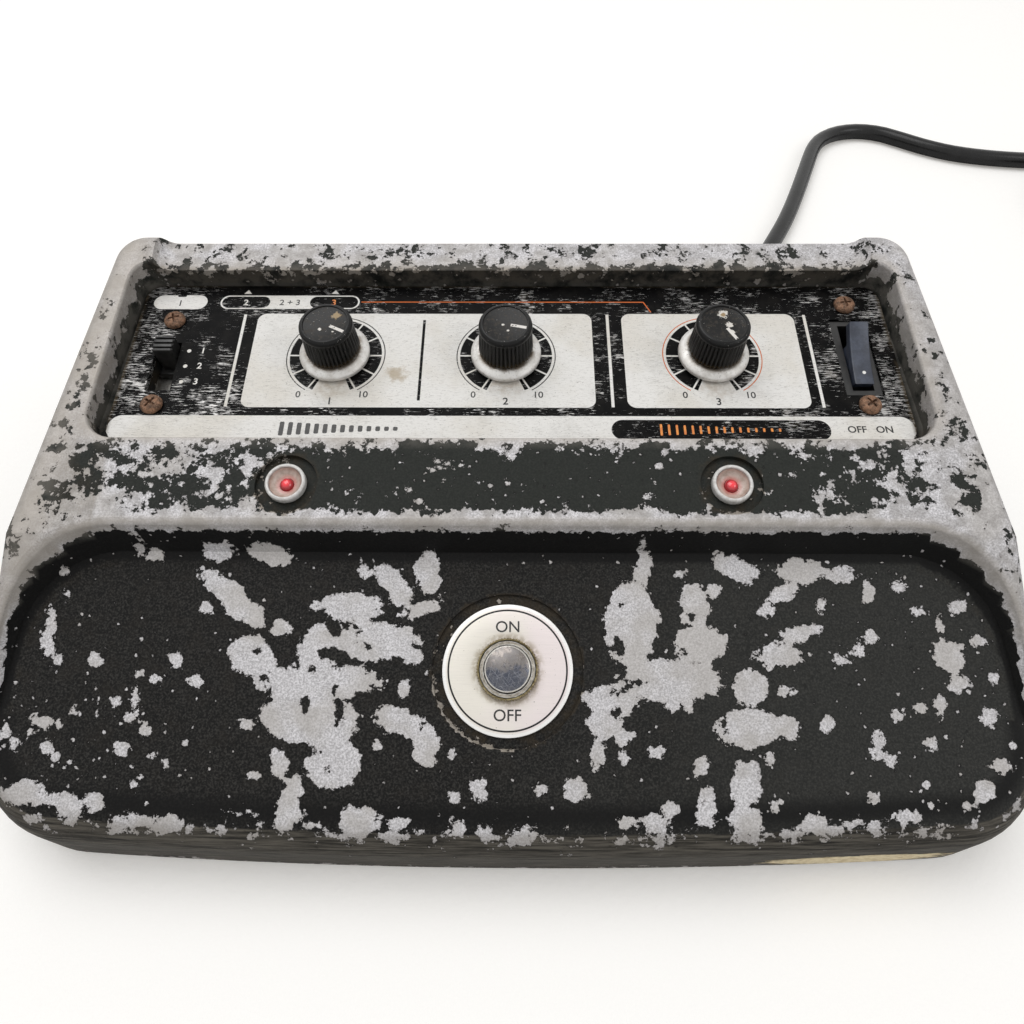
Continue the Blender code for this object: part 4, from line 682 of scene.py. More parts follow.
def round_top(body, radius, is_top_edge):
    """Round the edges of the roof."""
    bmesh.ops.recalc_face_normals(body, faces=body.faces)
    body.normal_update()
    edges = [edge for edge in body.edges if is_top_edge(edge)]
    bmesh.ops.bevel(body, geom=edges, offset=radius, offset_type="OFFSET", segments=9, profile=0.5,
                    affect="EDGES", clamp_overlap=True)


def upper_case():
    """The outer form of the upper case: a prism under the rim and shoulder planes."""
    body = prism(case_outline(), CASE_BOTTOM_Z, CREST_Z * 2)
    for height_at, tilt in ((RIM_PLANE, RIM_TILT), (SHOULDER_PLANE, SHOULDER_TILT)):
        parts = body.verts[:] + body.edges[:] + body.faces[:]
        cut = bmesh.ops.bisect_plane(
            body, geom=parts, plane_co=(0.0, 0.0, height_at(0.0, 0.0)),
            plane_no=(0.0, -math.sin(tilt), math.cos(tilt)), clear_outer=True)
        rim = [part for part in cut["geom_cut"] if isinstance(part, bmesh.types.BMEdge)]
        bmesh.ops.contextual_create(body, geom=rim)

    def outer_top(edge):
        ends = [vert.co for vert in edge.verts]
        rim = all(on_plane(co, RIM_PLANE) for co in ends)
        shoulder = all(on_plane(co, SHOULDER_PLANE) for co in ends)
        return rim != shoulder and any(abs(face.normal.z) < 0.1 for face in edge.link_faces)

    round_top(body, RIM_EDGE_RADIUS, outer_top)
    return body


def lower_case():
    """The outer form of the lower case in front: a prism under the tread plane."""
    outline = [(x * TREAD_WIDTH_SHARE, y) for x, y in case_outline() if y < CREST_Y]
    rear_y = CREST_Y + CREST_CORNER_RADIUS
    rear_reach = case_half_width(rear_y) * TREAD_WIDTH_SHARE
    right = max(range(len(outline)), key=lambda index: (outline[index][0] > 0, outline[index][1]))
    outline = outline[:right + 1] + [(rear_reach, rear_y), (-rear_reach, rear_y)] + outline[right + 1:]
    body = prism(outline, CASE_BOTTOM_Z, TREAD_PLANE)

    def outer_top(edge):
        ends = [vert.co for vert in edge.verts]
        return all(on_plane(co, TREAD_PLANE) for co in ends) and any(co.y < CREST_Y for co in ends)

    round_top(body, TREAD_EDGE_RADIUS, outer_top)
    return body


def lip(radius, steps=6):
    """Spread and drop of each step round a lip, from its foot to its top."""
    for step in range(steps + 1):
        angle = RECESS_LIP_SWEEP * step / steps
        yield radius * (1 - math.cos(angle)), radius * (1 - math.sin(angle))


def tread_cutter():
    """All that lies in front of the crest, with a rounded lip where it meets the ridge."""
    reach = CREST_HALF_WIDTH
    front = FRONT_Y - 2 * OVERRUN
    outside = CASE_FRONT_WIDTH / 2 + OVERRUN
    arm_end = CREST_Y - ARM_LENGTH
    right = [(outside, front), (outside, arm_end - ARM_END_SLANT), (reach + ARM_FLARE, arm_end),
             (reach, CREST_Y)]
    radii = [0.0, 0.0, ARM_END_RADIUS, CREST_CORNER_RADIUS]
    outline = rounded(right + [(-x, y) for x, y in reversed(right)], radii + radii[::-1], 24)
    foot_outline = offset(outline, -CREST_WALL_DRAFT)

    def top_height(x, y):
        return max(min(RIM_PLANE(x, y), SHOULDER_PLANE(x, y)), TREAD_PLANE(x, y) + OVERRUN)

    ring_list = [[(x, y, CASE_BOTTOM_Z - OVERRUN) for x, y in foot_outline],
                 [(x, y, TREAD_PLANE(x, y) - CREST_WALL_SINK) for x, y in foot_outline]]
    for spread, drop in lip(CREST_EDGE_RADIUS):
        ring_list.append([(x, y, top_height(x, y) - drop) for x, y in offset(outline, spread)])
    ring_list.append([(x, y, CREST_Z * 2) for x, y in offset(outline, 2 * CREST_EDGE_RADIUS)])
    return rings(ring_list)


def recess_outline(grow=0.0):
    """The panel's recess in the panel's frame, anticlockwise."""
    corners = [(-RECESS_FRONT_HALF_WIDTH, RECESS_FRONT), (RECESS_FRONT_HALF_WIDTH, RECESS_FRONT),
               (RECESS_REAR_HALF_WIDTH, RECESS_REAR), (-RECESS_REAR_HALF_WIDTH, RECESS_REAR)]
    radii = [RECESS_FRONT_CORNER_RADIUS] * 2 + [RECESS_REAR_CORNER_RADIUS] * 2
    return offset(rounded(corners, radii, 10), grow)


def rim_over_panel(y):
    """Height of the rim plane over the panel, at a depth in the panel's frame."""
    over_dials = RIM_PLANE(0.0, DIAL_ROW_Y) - DIAL_ROW_Z
    return over_dials / math.cos(PANEL_TILT) + y * math.tan(RIM_TILT - PANEL_TILT)


def recess_cutter():
    """The recess, with a rounded lip where it meets the rim."""
    ring_list = [[(x, y, -PANEL_THICKNESS - GAP) for x, y in recess_outline()]]
    for spread, drop in lip(RECESS_LIP_RADIUS):
        ring_list.append([(x, y, rim_over_panel(y) - drop) for x, y in recess_outline(spread)])
    top = recess_outline(2 * RECESS_LIP_RADIUS)
    ring_list.append([(x, y, rim_over_panel(y) + 2 * OVERRUN) for x, y in top])
    return rings(ring_list)


def back_rim_cutter():
    """The low back rim between the two ears, with rounded ends and a rounded front edge."""
    high = BACK_RIM_HEIGHT + OVERRUN * 3
    width = BACK_RIM_HALF_WIDTH
    corners = [(-width, BACK_RIM_HEIGHT), (width, BACK_RIM_HEIGHT), (width, high), (-width, high)]
    profile = rounded(corners, [BACK_RIM_END_RADIUS, BACK_RIM_END_RADIUS, 0.0, 0.0], 10)
    rear = DIAL_ROW_FROM_REAR + OVERRUN
    front = RECESS_REAR - OVERRUN
    return rings([[(x, front, z) for x, z in profile], [(x, rear, z) for x, z in profile]])


def foot_places():
    """Names and places of the four feet."""
    places = []
    for depth_name, y in (("front", FRONT_Y + FOOT_INSET_FRONT), ("rear", REAR_Y - FOOT_INSET_REAR)):
        reach = case_half_width(y) - FOOT_INSET_X
        places += [(f"{depth_name}_left", -reach, y), (f"{depth_name}_right", reach, y)]
    return places


def inner_rooms():
    """What is hollow under the roof of the case, open at the bottom."""
    below = CASE_BOTTOM_Z - OVERRUN
    roof_drop = (PANEL_THICKNESS + GAP + CASE_ROOF) / math.cos(PANEL_TILT)
    roof = plane(DIAL_ROW_Y, DIAL_ROW_Z - roof_drop, PANEL_TILT)
    reach = RECESS_REAR_HALF_WIDTH - CASE_WALL / 2
    front, rear = CREST_Y + CASE_WALL, REAR_Y - CASE_WALL
    upper = [(-reach, front), (reach, front), (reach, rear), (-reach, rear)]
    tread_roof_z = FOOTSWITCH_Z - CASE_ROOF / math.cos(TREAD_TILT) - DISC_POCKET_DEPTH
    tread_roof = plane(FOOTSWITCH_Y, tread_roof_z, TREAD_TILT)
    lower_rear = CREST_Y + CASE_WALL * 2
    lower = [(x, min(y, lower_rear)) for x, y in offset(case_outline(), -CASE_WALL - TREAD_EDGE_RADIUS / 2)]
    beside = zip(lower[-1:] + lower[:-1], lower, lower[1:] + lower[:1])
    lower = [here for before, here, after in beside if min(before[1], here[1], after[1]) < lower_rear]
    plate_room = CASE_BOTTOM_Z + PLATE_THICKNESS + GAP
    return [lump("upper_room", prism(upper, below, roof)),
            lump("lower_room", prism(lower, below, tread_roof)),
            lump("plate_room", prism(offset(case_outline(), -CASE_WALL), below, plate_room))]


def hole(radius, low, high, matrix, count=48):
    """A round cutter."""
    return lump("hole", turned([(radius, low), (radius, high)], count), matrix)


def case_holes():
    """Every hole and pocket in the case."""
    below_panel = -PANEL_THICKNESS - CASE_ROOF - OVERRUN
    holes = [hole(DISC_POCKET_RADIUS, -DISC_POCKET_DEPTH, OVERRUN, on_face(TREAD_FACE), 96),
             hole(7.1 * MM, -4 * OVERRUN, 0.0, on_face(TREAD_FACE)),
             hole(5.8 * MM, -CASE_WALL - OVERRUN, OVERRUN, at_back(GLAND_X, GLAND_Z))]
    for _name, x, _pointer in DIALS:
        holes.append(hole(4.8 * MM, below_panel, OVERRUN, on_face(PANEL_FACE, x)))
    for _name, x, y, _turn in PANEL_SCREWS:
        holes.append(hole(1.8 * MM, below_panel, OVERRUN, on_face(PANEL_FACE, x, y)))
    for side in (-1, 1):
        at = on_face(RIDGE_FACE, side * LAMP_X)
        holes.append(hole(7.9 * MM, -1.3 * MM, OVERRUN, at, 64))
        holes.append(hole(3.9 * MM, -4 * OVERRUN, 0.0, at))
    for _name, x in SOCKETS:
        holes.append(hole(5.0 * MM, -CASE_WALL - OVERRUN, OVERRUN, at_back(x, SOCKET_Z)))
    for x, y, width, length in ((LEVEL_X, LEVEL_Y, 7.0 * MM, 16.6 * MM),
                                (POWER_X, 0.0, 10.5 * MM, 26.7 * MM)):
        slot = soft_box((width, length, 4 * OVERRUN), 0.3 * MM)
        holes.append(lump("slot", slot, on_face(PANEL_FACE, x, y)))
    return holes


def patch_depth(px, py, patches):
    """How deep inside the nearest patch each pixel lies, in millimetres, below zero outside."""
    depth = np.full(px.shape, UNTOUCHED)
    for middle_x, middle_y, half_width, half_height, turn in patches:
        angle = math.radians(turn)
        along = (px - middle_x) * math.cos(angle) + (py - middle_y) * math.sin(angle)
        across = (py - middle_y) * math.cos(angle) - (px - middle_x) * math.sin(angle)
        reach = np.hypot(along / half_width, across / half_height)
        depth = np.maximum(depth, (1.0 - reach) * min(half_width, half_height) / PHOTO_PIXELS_PER_MM)
    return depth


def band(distance, middle, half_width, height):
    """A ridge of a height along a line, from a distance to that line."""
    return height * (1.0 - np.abs(distance - middle) / half_width)


def past_corner(over_x, over_y, radius):
    """Distance past an edge with a rounded corner, below zero inside it."""
    outside = np.hypot(np.maximum(over_x, 0), np.maximum(over_y, 0))
    return outside + np.minimum(np.maximum(over_x, over_y), 0) - radius


def wear_of(points):
    """What the casting's mesh carries of its wear, at points in metres; the rest here is in millimetres."""
    x, y, z = (points / MM).T
    mm = 1 / MM
    crest_y, rear_y, front_y = CREST_Y * mm, REAR_Y * mm, FRONT_Y * mm
    corner = CREST_CORNER_RADIUS * mm
    arm_end = crest_y - ARM_LENGTH * mm
    reach = CREST_HALF_WIDTH * mm + ARM_FLARE * mm * np.clip((crest_y - y) / (ARM_LENGTH * mm), 0, 1)
    reach = reach + 14.0 * np.clip((arm_end - y) / (ARM_END_SLANT * mm), 0, 1)
    crest = past_corner(np.abs(x) - (reach - corner), y - (crest_y - corner), corner)
    half = case_half_width(y * MM) * mm
    side = half - np.abs(x)
    front = y - front_y - FRONT_BOW * mm * (x / half) ** 2
    turn = FRONT_CORNER_RADIUS * mm
    at_corner = (side < turn) & (front < turn)
    edge = np.where(at_corner, turn - np.hypot(turn - side, turn - front), np.minimum(side, front))
    panel_y = (y - DIAL_ROW_Y * mm) / math.cos(PANEL_TILT)
    gap_x = np.abs(x) - (110.0 - panel_y * 0.05) + 7.0
    gap_y = np.maximum(panel_y - RECESS_REAR * mm, RECESS_FRONT * mm - panel_y) + 7.0
    recess = past_corner(gap_x, gap_y, 7.0)
    top_z = np.minimum(RIM_PLANE(0.0, y * MM), SHOULDER_PLANE(0.0, y * MM)) * mm
    tread_z = TREAD_PLANE(0.0, y * MM) * mm
    on_ridge = crest > -0.05
    on_wall = (crest > -2.4) & ~on_ridge & (z > tread_z + 0.4)
    on_top = z > top_z - 5.0
    end_share = np.clip((np.abs(x) - 62.0) / 34.0, 0.0, 1.0)
    left_share = np.clip((-x - 52.0) / 14.0, 0.0, 1.0)

    ridge = -1.75 + 1.5 * np.maximum(end_share, left_share)
    ridge = np.maximum(ridge, band(crest, 0.9, 2.4, 2.6))
    ridge = np.maximum(ridge, band(recess, 0.8, 2.0, 1.0 + 0.8 * end_share))
    cheek = np.where((np.abs(x) > 100) & (y > crest_y), 0.05 + 0.35 * (x > 0), UNTOUCHED)
    cheek = np.maximum(cheek, np.where(y > crest_y, band(side, 2.0, 5.0, 1.8), UNTOUCHED))
    upper = np.maximum(np.maximum(ridge, cheek), np.where(panel_y > 26.0, 0.8, UNTOUCHED))
    arms = 0.3 + band(crest, 1.5, 6.0, 1.6) * (crest < 7.5)
    upper = np.maximum(upper, np.where((y < crest_y + 14) & (np.abs(x) > 96), arms, UNTOUCHED))

    px, py = in_photo(points)
    tread = np.minimum(patch_depth(px, py, CHIPS), -patch_depth(px, py, ISLANDS))
    boundary = (y < arm_end) & (edge < 8.0) & (z > tread_z - 5.0)
    tread = np.maximum(tread, np.where(boundary, -1.7 + band(edge, 3.4, 2.6, 1.6), UNTOUCHED))
    walls = np.where(z < top_z - 5.0, -2.0, UNTOUCHED)
    walls = np.maximum(walls, np.where(z < 9.0, -1.2 + 0.2 * np.clip(9.0 - z, 0, 5), UNTOUCHED))
    under_tread = np.where(z < tread_z - 8.0, walls, UNTOUCHED)
    bare = np.where(on_ridge, np.where(on_top, upper, walls), np.maximum(tread, under_tread))
    bare = np.where(on_wall, np.maximum(np.maximum(2.9 - (top_z - z), -4.0), tread), bare)
    in_recess = (recess < -0.2) & (y > crest_y)
    bare = np.where(in_recess & on_top, -2.6 + 2.0 * (recess > -1.4), bare)
    under_roof = z < np.where(y > crest_y, top_z - 12.0, tread_z - 4.0)
    inner = (side > 6.0) & under_roof & (y > front_y + 8) & (y < rear_y - 5)
    bare = np.where(inner, UNTOUCHED, bare)

    beside, ahead = x, (y - FOOTSWITCH_Y * mm) / math.cos(TREAD_TILT)
    to_switch = np.hypot(beside, ahead)
    ring = (np.abs(to_switch - 17.2) < 2.0) & ~on_ridge
    low_left = np.clip((-beside * 0.6 - ahead * 0.8) / 17.0, 0, 1)
    bare = np.where(ring, np.maximum(bare, -1.6 + 1.5 * low_left + band(to_switch, 18.7, 0.9, 0.9)), bare)
    speckle = np.where(on_ridge, 0.35, 0.26) + 0.3 * ((x < -70) & (y < -45) & (y > -66)) + 0.12 * (x > 60)
    speckle = np.where(~on_ridge & (edge < 6.0) & (y < arm_end), 0.1, speckle)
    dirt = np.clip(1.0 - np.abs(crest + 4.5) / 2.5, 0, 1) * (np.abs(x) > 96) * 0.5
    dirt = np.maximum(dirt, np.where((x < -103) & on_ridge & on_top, 0.55, 0.0))
    dirt = np.maximum(dirt, np.where(in_recess, 0.8, 0.0))
    dirt = np.maximum(dirt, np.where(ring, 0.9, 0.0))
    for lamp_x in (-LAMP_X * mm, LAMP_X * mm):
        dirt = np.maximum(dirt, 1.0 * (np.hypot(x - lamp_x, y - LAMP_Y * mm) < 8.3))
    polish = np.clip(1.0 - np.abs(crest - 0.6) / 1.3, 0, 1) * on_ridge
    polish = np.maximum(polish, np.clip(1.0 - np.abs(recess - 0.8) / 2.2, 0, 1))
    left_arm = (y > crest_y - 20) & (x < -100) & on_ridge
    polish = np.maximum(polish, np.where(left_arm, np.clip(1.2 - np.abs(side - 5) / 6, 0, 1) * 0.8, 0))
    # Painted shade: near black paint on the crest's wall and the tread at its foot, in a band on the tread's
    # rounded front edge, and in the panel's recess.
    deep = np.where(on_wall | ((crest > -3.6) & ~on_ridge), 1.0, 0.0)
    deep = np.maximum(deep, np.clip(1.3 - np.abs(edge - 7.5) / 3.0, 0, 1) * (y < arm_end) * ~on_ridge)
    deep = np.maximum(deep, np.where(in_recess, 0.8, 0.0))
    # Mask of the lower case's front and side faces, where a reflection of the floor is painted into the paint
    # as a lighter tone, along with scuff streaks.
    face = np.clip((4.6 - edge) / 1.4, 0, 1) * (y < arm_end) * ~on_ridge
    wander = np.where(on_ridge | boundary, 11.0, 3.6)
    return {"bare": bare, "wander": wander, "speckle": speckle, "dirt": dirt, "polish": polish, "deep": deep,
            "ridge": 1.0 * on_ridge, "face": face}


def paint_finish():
    """Fine grained black paint that has flaked off the grey casting."""
    finish = Finish("worn_case_paint")
    at = finish.place()
    bare, wander, speckle, dirt, polish, deep, ridge, face = [finish.carried(name) for name in (
        "bare", "wander", "speckle", "dirt", "polish", "deep", "ridge", "face")]
    coast = finish.noise(at, 6.5, 9.0, 0.68) - 0.5
    shore = finish.noise(at, 2.7, 7.0, 0.66) - 0.5
    ragged = finish.noise(at, 1.1, 4.0, 0.6) - 0.5
    depth = bare + coast * wander + shore * (5.6 + ridge * 2.4) + ragged * 2.0
    sockets = {"Vector": at, "Scale": 0.9, "Detail": 4.0, "Roughness": 0.6}
    push = finish.node("ShaderNodeTexNoise", None, sockets, "Color")
    bent = finish.vector("ADD", at, finish.vector("SCALE", push, 1.6))
    for size, widest, share in ((4.3, 1.4, 1.0), (1.9, 0.5, 1.5)):
        fleck = finish.cells(bent, size) * size
        draw = finish.parts(finish.cells(bent, size, "Color"))
        fleck_depth = finish.least((speckle * share - draw[0]) * 4.0 - 0.25, draw[1] * widest) - fleck
        depth = finish.most(depth, fleck_depth)
    chipped = finish.ramp(depth, -0.04, 0.06)
    # Painted shadow at the paint's broken edge round each flake, partly dirt: a dark rim on the paint, and a
    # darker band on the bare metal inside it.
    outline = finish.ramp(depth, -0.45, -0.02) * (1 - chipped)
    chip_rim_shadow_and_grime = finish.ramp(depth, 0.35, 0.05) * chipped

    grain = finish.noise(at, 0.5, 3.0, 0.62)
    mottle = finish.noise(at, 5.0, 5.0, 0.6)
    cloud = finish.noise(at, 28.0, 3.0, 0.5)
    paint = finish.mix(finish.ramp(grain, 0.40, 0.72), (0.0038, 0.0037, 0.0036), (0.040, 0.038, 0.035))
    paint = finish.mix(finish.ramp(mottle, 0.45, 0.75) * 0.4, paint, (0.020, 0.017, 0.014))
    rightward = finish.ramp(finish.parts(at)[0] + (cloud - 0.5) * 90.0, -10.0, 90.0)
    faded = finish.mix(grain, (0.018, 0.019, 0.018), (0.062, 0.063, 0.058))
    paint = finish.mix(rightward * 0.5, paint, faded)
    paint = finish.mix(ridge * 0.8, paint, finish.mix(grain, (0.011, 0.013, 0.011), (0.030, 0.033, 0.029)))
    # Painted shade: the paint turns near black on the crest's wall, the tread's front edge and the recess.
    paint = finish.mix(deep * 0.85, paint, (0.0022, 0.0021, 0.0022))
    grime = finish.ramp(dirt, 0.2, 1.0) * finish.ramp(mottle, 0.38, 0.62)
    paint = finish.mix(grime * 0.7, paint, finish.mix(grain, (0.008, 0.006, 0.004), (0.062, 0.047, 0.029)))
    # Painted reflection of the floor: the front and side faces turn a lighter, streaky brown grey, whose
    # streaks also stand for scuffs.
    bands = finish.streaks(at, (13.0, 9.0, 0.5), 6.0, 0.68)
    scuffs_and_floor_sheen = finish.mix(finish.ramp(bands, 0.34, 0.66), (0.016, 0.0145, 0.012), (0.115, 0.104, 0.086))
    paint = finish.mix(finish.ramp(face + shore * 0.8, 0.35, 0.65), paint, scuffs_and_floor_sheen)
    # Painted shadow, partly dirt, along the paint's edge round each flake.
    paint = finish.mix(outline * 0.5, paint, (0.003, 0.0027, 0.0025))

    pits = finish.noise(at, 0.45, 3.0, 0.7)
    metal = finish.mix(finish.ramp(pits, 0.34, 0.66), (0.37, 0.36, 0.365), (0.70, 0.685, 0.70))
    metal = finish.mix(finish.patches(at, 14.0, 3.0, 0.5, 0.42, 0.62) * 0.55, metal, (0.42, 0.395, 0.365))
    soiled = finish.ramp(dirt + finish.noise(at, 9.0, 4.0, 0.6) * 0.5, 0.55, 1.1)
    metal = finish.mix(soiled * 0.7, metal, (0.20, 0.165, 0.115))
    burnish = finish.patches(at, 3.5, 5.0, 0.65, 0.42, 0.62)
    metal = finish.mix(burnish * (0.10 + ridge * 0.34), metal, (0.225, 0.212, 0.20))
    metal = finish.mix(face * 0.45, metal, (0.24, 0.215, 0.185))
    metal = finish.mix(polish * 0.6, metal, (0.47, 0.43, 0.39))
    # Painted shadow, partly grime, on the bare metal just inside each flake's edge.
    metal = finish.mix(chip_rim_shadow_and_grime * 0.3, metal, (0.17, 0.15, 0.13))
    colour = finish.mix(chipped, paint, metal)
    colour = finish.mix(polish * finish.ramp(mottle, 0.3, 0.6) * 0.4, colour, (0.32, 0.295, 0.26))

    skin = finish.bump(finish.noise(at, 0.75, 4.0, 0.62) * (1 - chipped * 0.75), 0.12)
    skin = finish.bump(finish.noise(at, 2.6, 3.0, 0.5) * (1 - chipped * 0.5), 0.14, skin)
    flaked = finish.bump(1 - chipped, 0.22, skin)
    roughness = 0.55 + chipped * 0.05 - polish * 0.12 + finish.noise(at, 1.6, 3.0, 0.6) * 0.12
    return finish.done(colour, roughness, chipped * 0.3, flaked, specular=0.13)


def build_case():
    """The one-piece casting, carved as the real one is and gridded so that it carries its wear."""
    case = lump("worn_case", upper_case())
    steps = [("DIFFERENCE", lump("before_crest", tread_cutter())),
             ("UNION", lump("tread_block", lower_case())),
             ("DIFFERENCE", lump("recess", recess_cutter(), on_face(PANEL_FACE))),
             ("DIFFERENCE", lump("back_rim", back_rim_cutter(), on_face(PANEL_FACE)))]
    steps += [("DIFFERENCE", room) for room in inner_rooms()]
    for name, x, y in foot_places():
        top = min(TREAD_PLANE(x, y) - CASE_ROOF / 2, 30.0 * MM)
        boss = turned([(5.0 * MM, CASE_BOTTOM_Z + PLATE_THICKNESS + GAP + BOSS_LIFT), (5.0 * MM, top)], 32)
        steps.append(("UNION", lump(f"boss_{name}", boss, Matrix.Translation((x, y, 0.0)))))
        steps.append(("DIFFERENCE", hole(2.3 * MM, -OVERRUN, 15.2 * MM, Matrix.Translation((x, y, 0.0)), 24)))
    steps += [("DIFFERENCE", cutter) for cutter in case_holes()]
    carve(case, steps)
    grid(case)
    dress(case, paint_finish(), CASE_SHARP_ANGLE)
    points = np.empty(len(case.data.vertices) * 3)
    case.data.vertices.foreach_get("co", points)
    for name, values in wear_of(points.reshape(-1, 3)).items():
        case.data.attributes.new(name, "FLOAT", "POINT").data.foreach_set("value", values.astype(np.float32))
    return settle(case, "case", ["top_casting"])


def cut_across(shape, parts, axis, place):
    """Cut parts of a mesh with a plane square to one axis."""
    middle, normal = [0.0, 0.0, 0.0], [0.0, 0.0, 0.0]
    middle[axis] = place
    normal[axis] = 1.0
    cut = bmesh.ops.bisect_plane(shape, geom=parts, dist=MM / 1000, plane_co=middle, plane_no=normal)
    return cut["geom"]


def on_tread(face):
    """Whether a face of the casting lies in the tread."""
    middle = face.calc_center_median()
    facing = TREAD_FACE[3]
    depth = abs((middle - TREAD_FACE[0]).dot(facing))
    shallow = depth < DISC_POCKET_DEPTH + TREAD_EDGE_RADIUS
    return face.normal.dot(facing) > 0.9 and middle.y < CREST_Y and shallow


def grid(item):
    """Cut an object's faces along an even grid, so that values at its points are fine enough."""
    shape = bmesh.new()
    shape.from_mesh(item.data)
    low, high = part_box("top_casting")
    for axis in range(3):
        for index in range(1, round((high[axis] - low[axis]) / WEAR_GRID)):
            parts = shape.verts[:] + shape.edges[:] + shape.faces[:]
            cut_across(shape, parts, axis, low[axis] + (index + WEAR_GRID_SHIFT_SHARE) * WEAR_GRID)
    shape.normal_update()
    faces = [face for face in shape.faces if on_tread(face)]
    for axis, (start, end) in enumerate(((low[0], high[0]), (FRONT_Y, CREST_Y))):
        parts = set(faces)
        for face in faces:
            parts.update(face.edges)
            parts.update(face.verts)
        parts = list(parts)
        for index in range(1, round((end - start) / TREAD_GRID)):
            parts = cut_across(shape, parts, axis, start + (index + TREAD_GRID_SHIFT_SHARE) * TREAD_GRID)
        faces = [part for part in parts if isinstance(part, bmesh.types.BMFace)]
    bmesh.ops.remove_doubles(shape, verts=shape.verts, dist=MM / 100)
    shape.to_mesh(item.data)
    shape.free()
    step = item.modifiers.new("even_shading", "WEIGHTED_NORMAL")
    step.keep_sharp = True


def box_mask(finish, flat, centre, half, radius, soft=0.05):
    """1 inside a rounded box of the print, 0 outside."""
    away = finish.vector("ABSOLUTE", finish.vector("SUBTRACT", flat, (*centre, 0.0)))
    away = finish.vector("SUBTRACT", away, (half[0] - radius, half[1] - radius, 0.0))
    away = finish.vector("MAXIMUM", away, (0.0, 0.0, 0.0))
    distance = finish.length(away)
    return finish.ramp(distance, radius + soft, radius - soft)


def dial_masks(finish, flat, centre_x):
    """Print of one dial: its thin ring, and its dark scale without the ticks."""
    local = finish.vector("SUBTRACT", flat, (centre_x, 0.0, 0.0))
    x, y, _z = finish.parts(local)
    reach = finish.length(local)
    angle = finish.maths("ARCTAN2", x, y) * math.degrees(1.0)
    from_top = abs(angle)
    ring = finish.ramp(abs(reach - 13.85), 0.19, 0.09) * finish.ramp(from_top, 149.0, 148.5)
    scale = finish.ramp(reach, 13.02, 12.92) * finish.ramp(reach, 6.9, 7.1)
    scale = scale * finish.ramp(from_top, 156.5, 156.0)
    off_tick = finish.maths("PINGPONG", angle, 15.0) * reach * math.radians(1.0)
    tick = finish.ramp(off_tick, 0.30, 0.20) * finish.ramp(from_top, 153.0, 152.0)
    return ring, scale * (1 - tick)


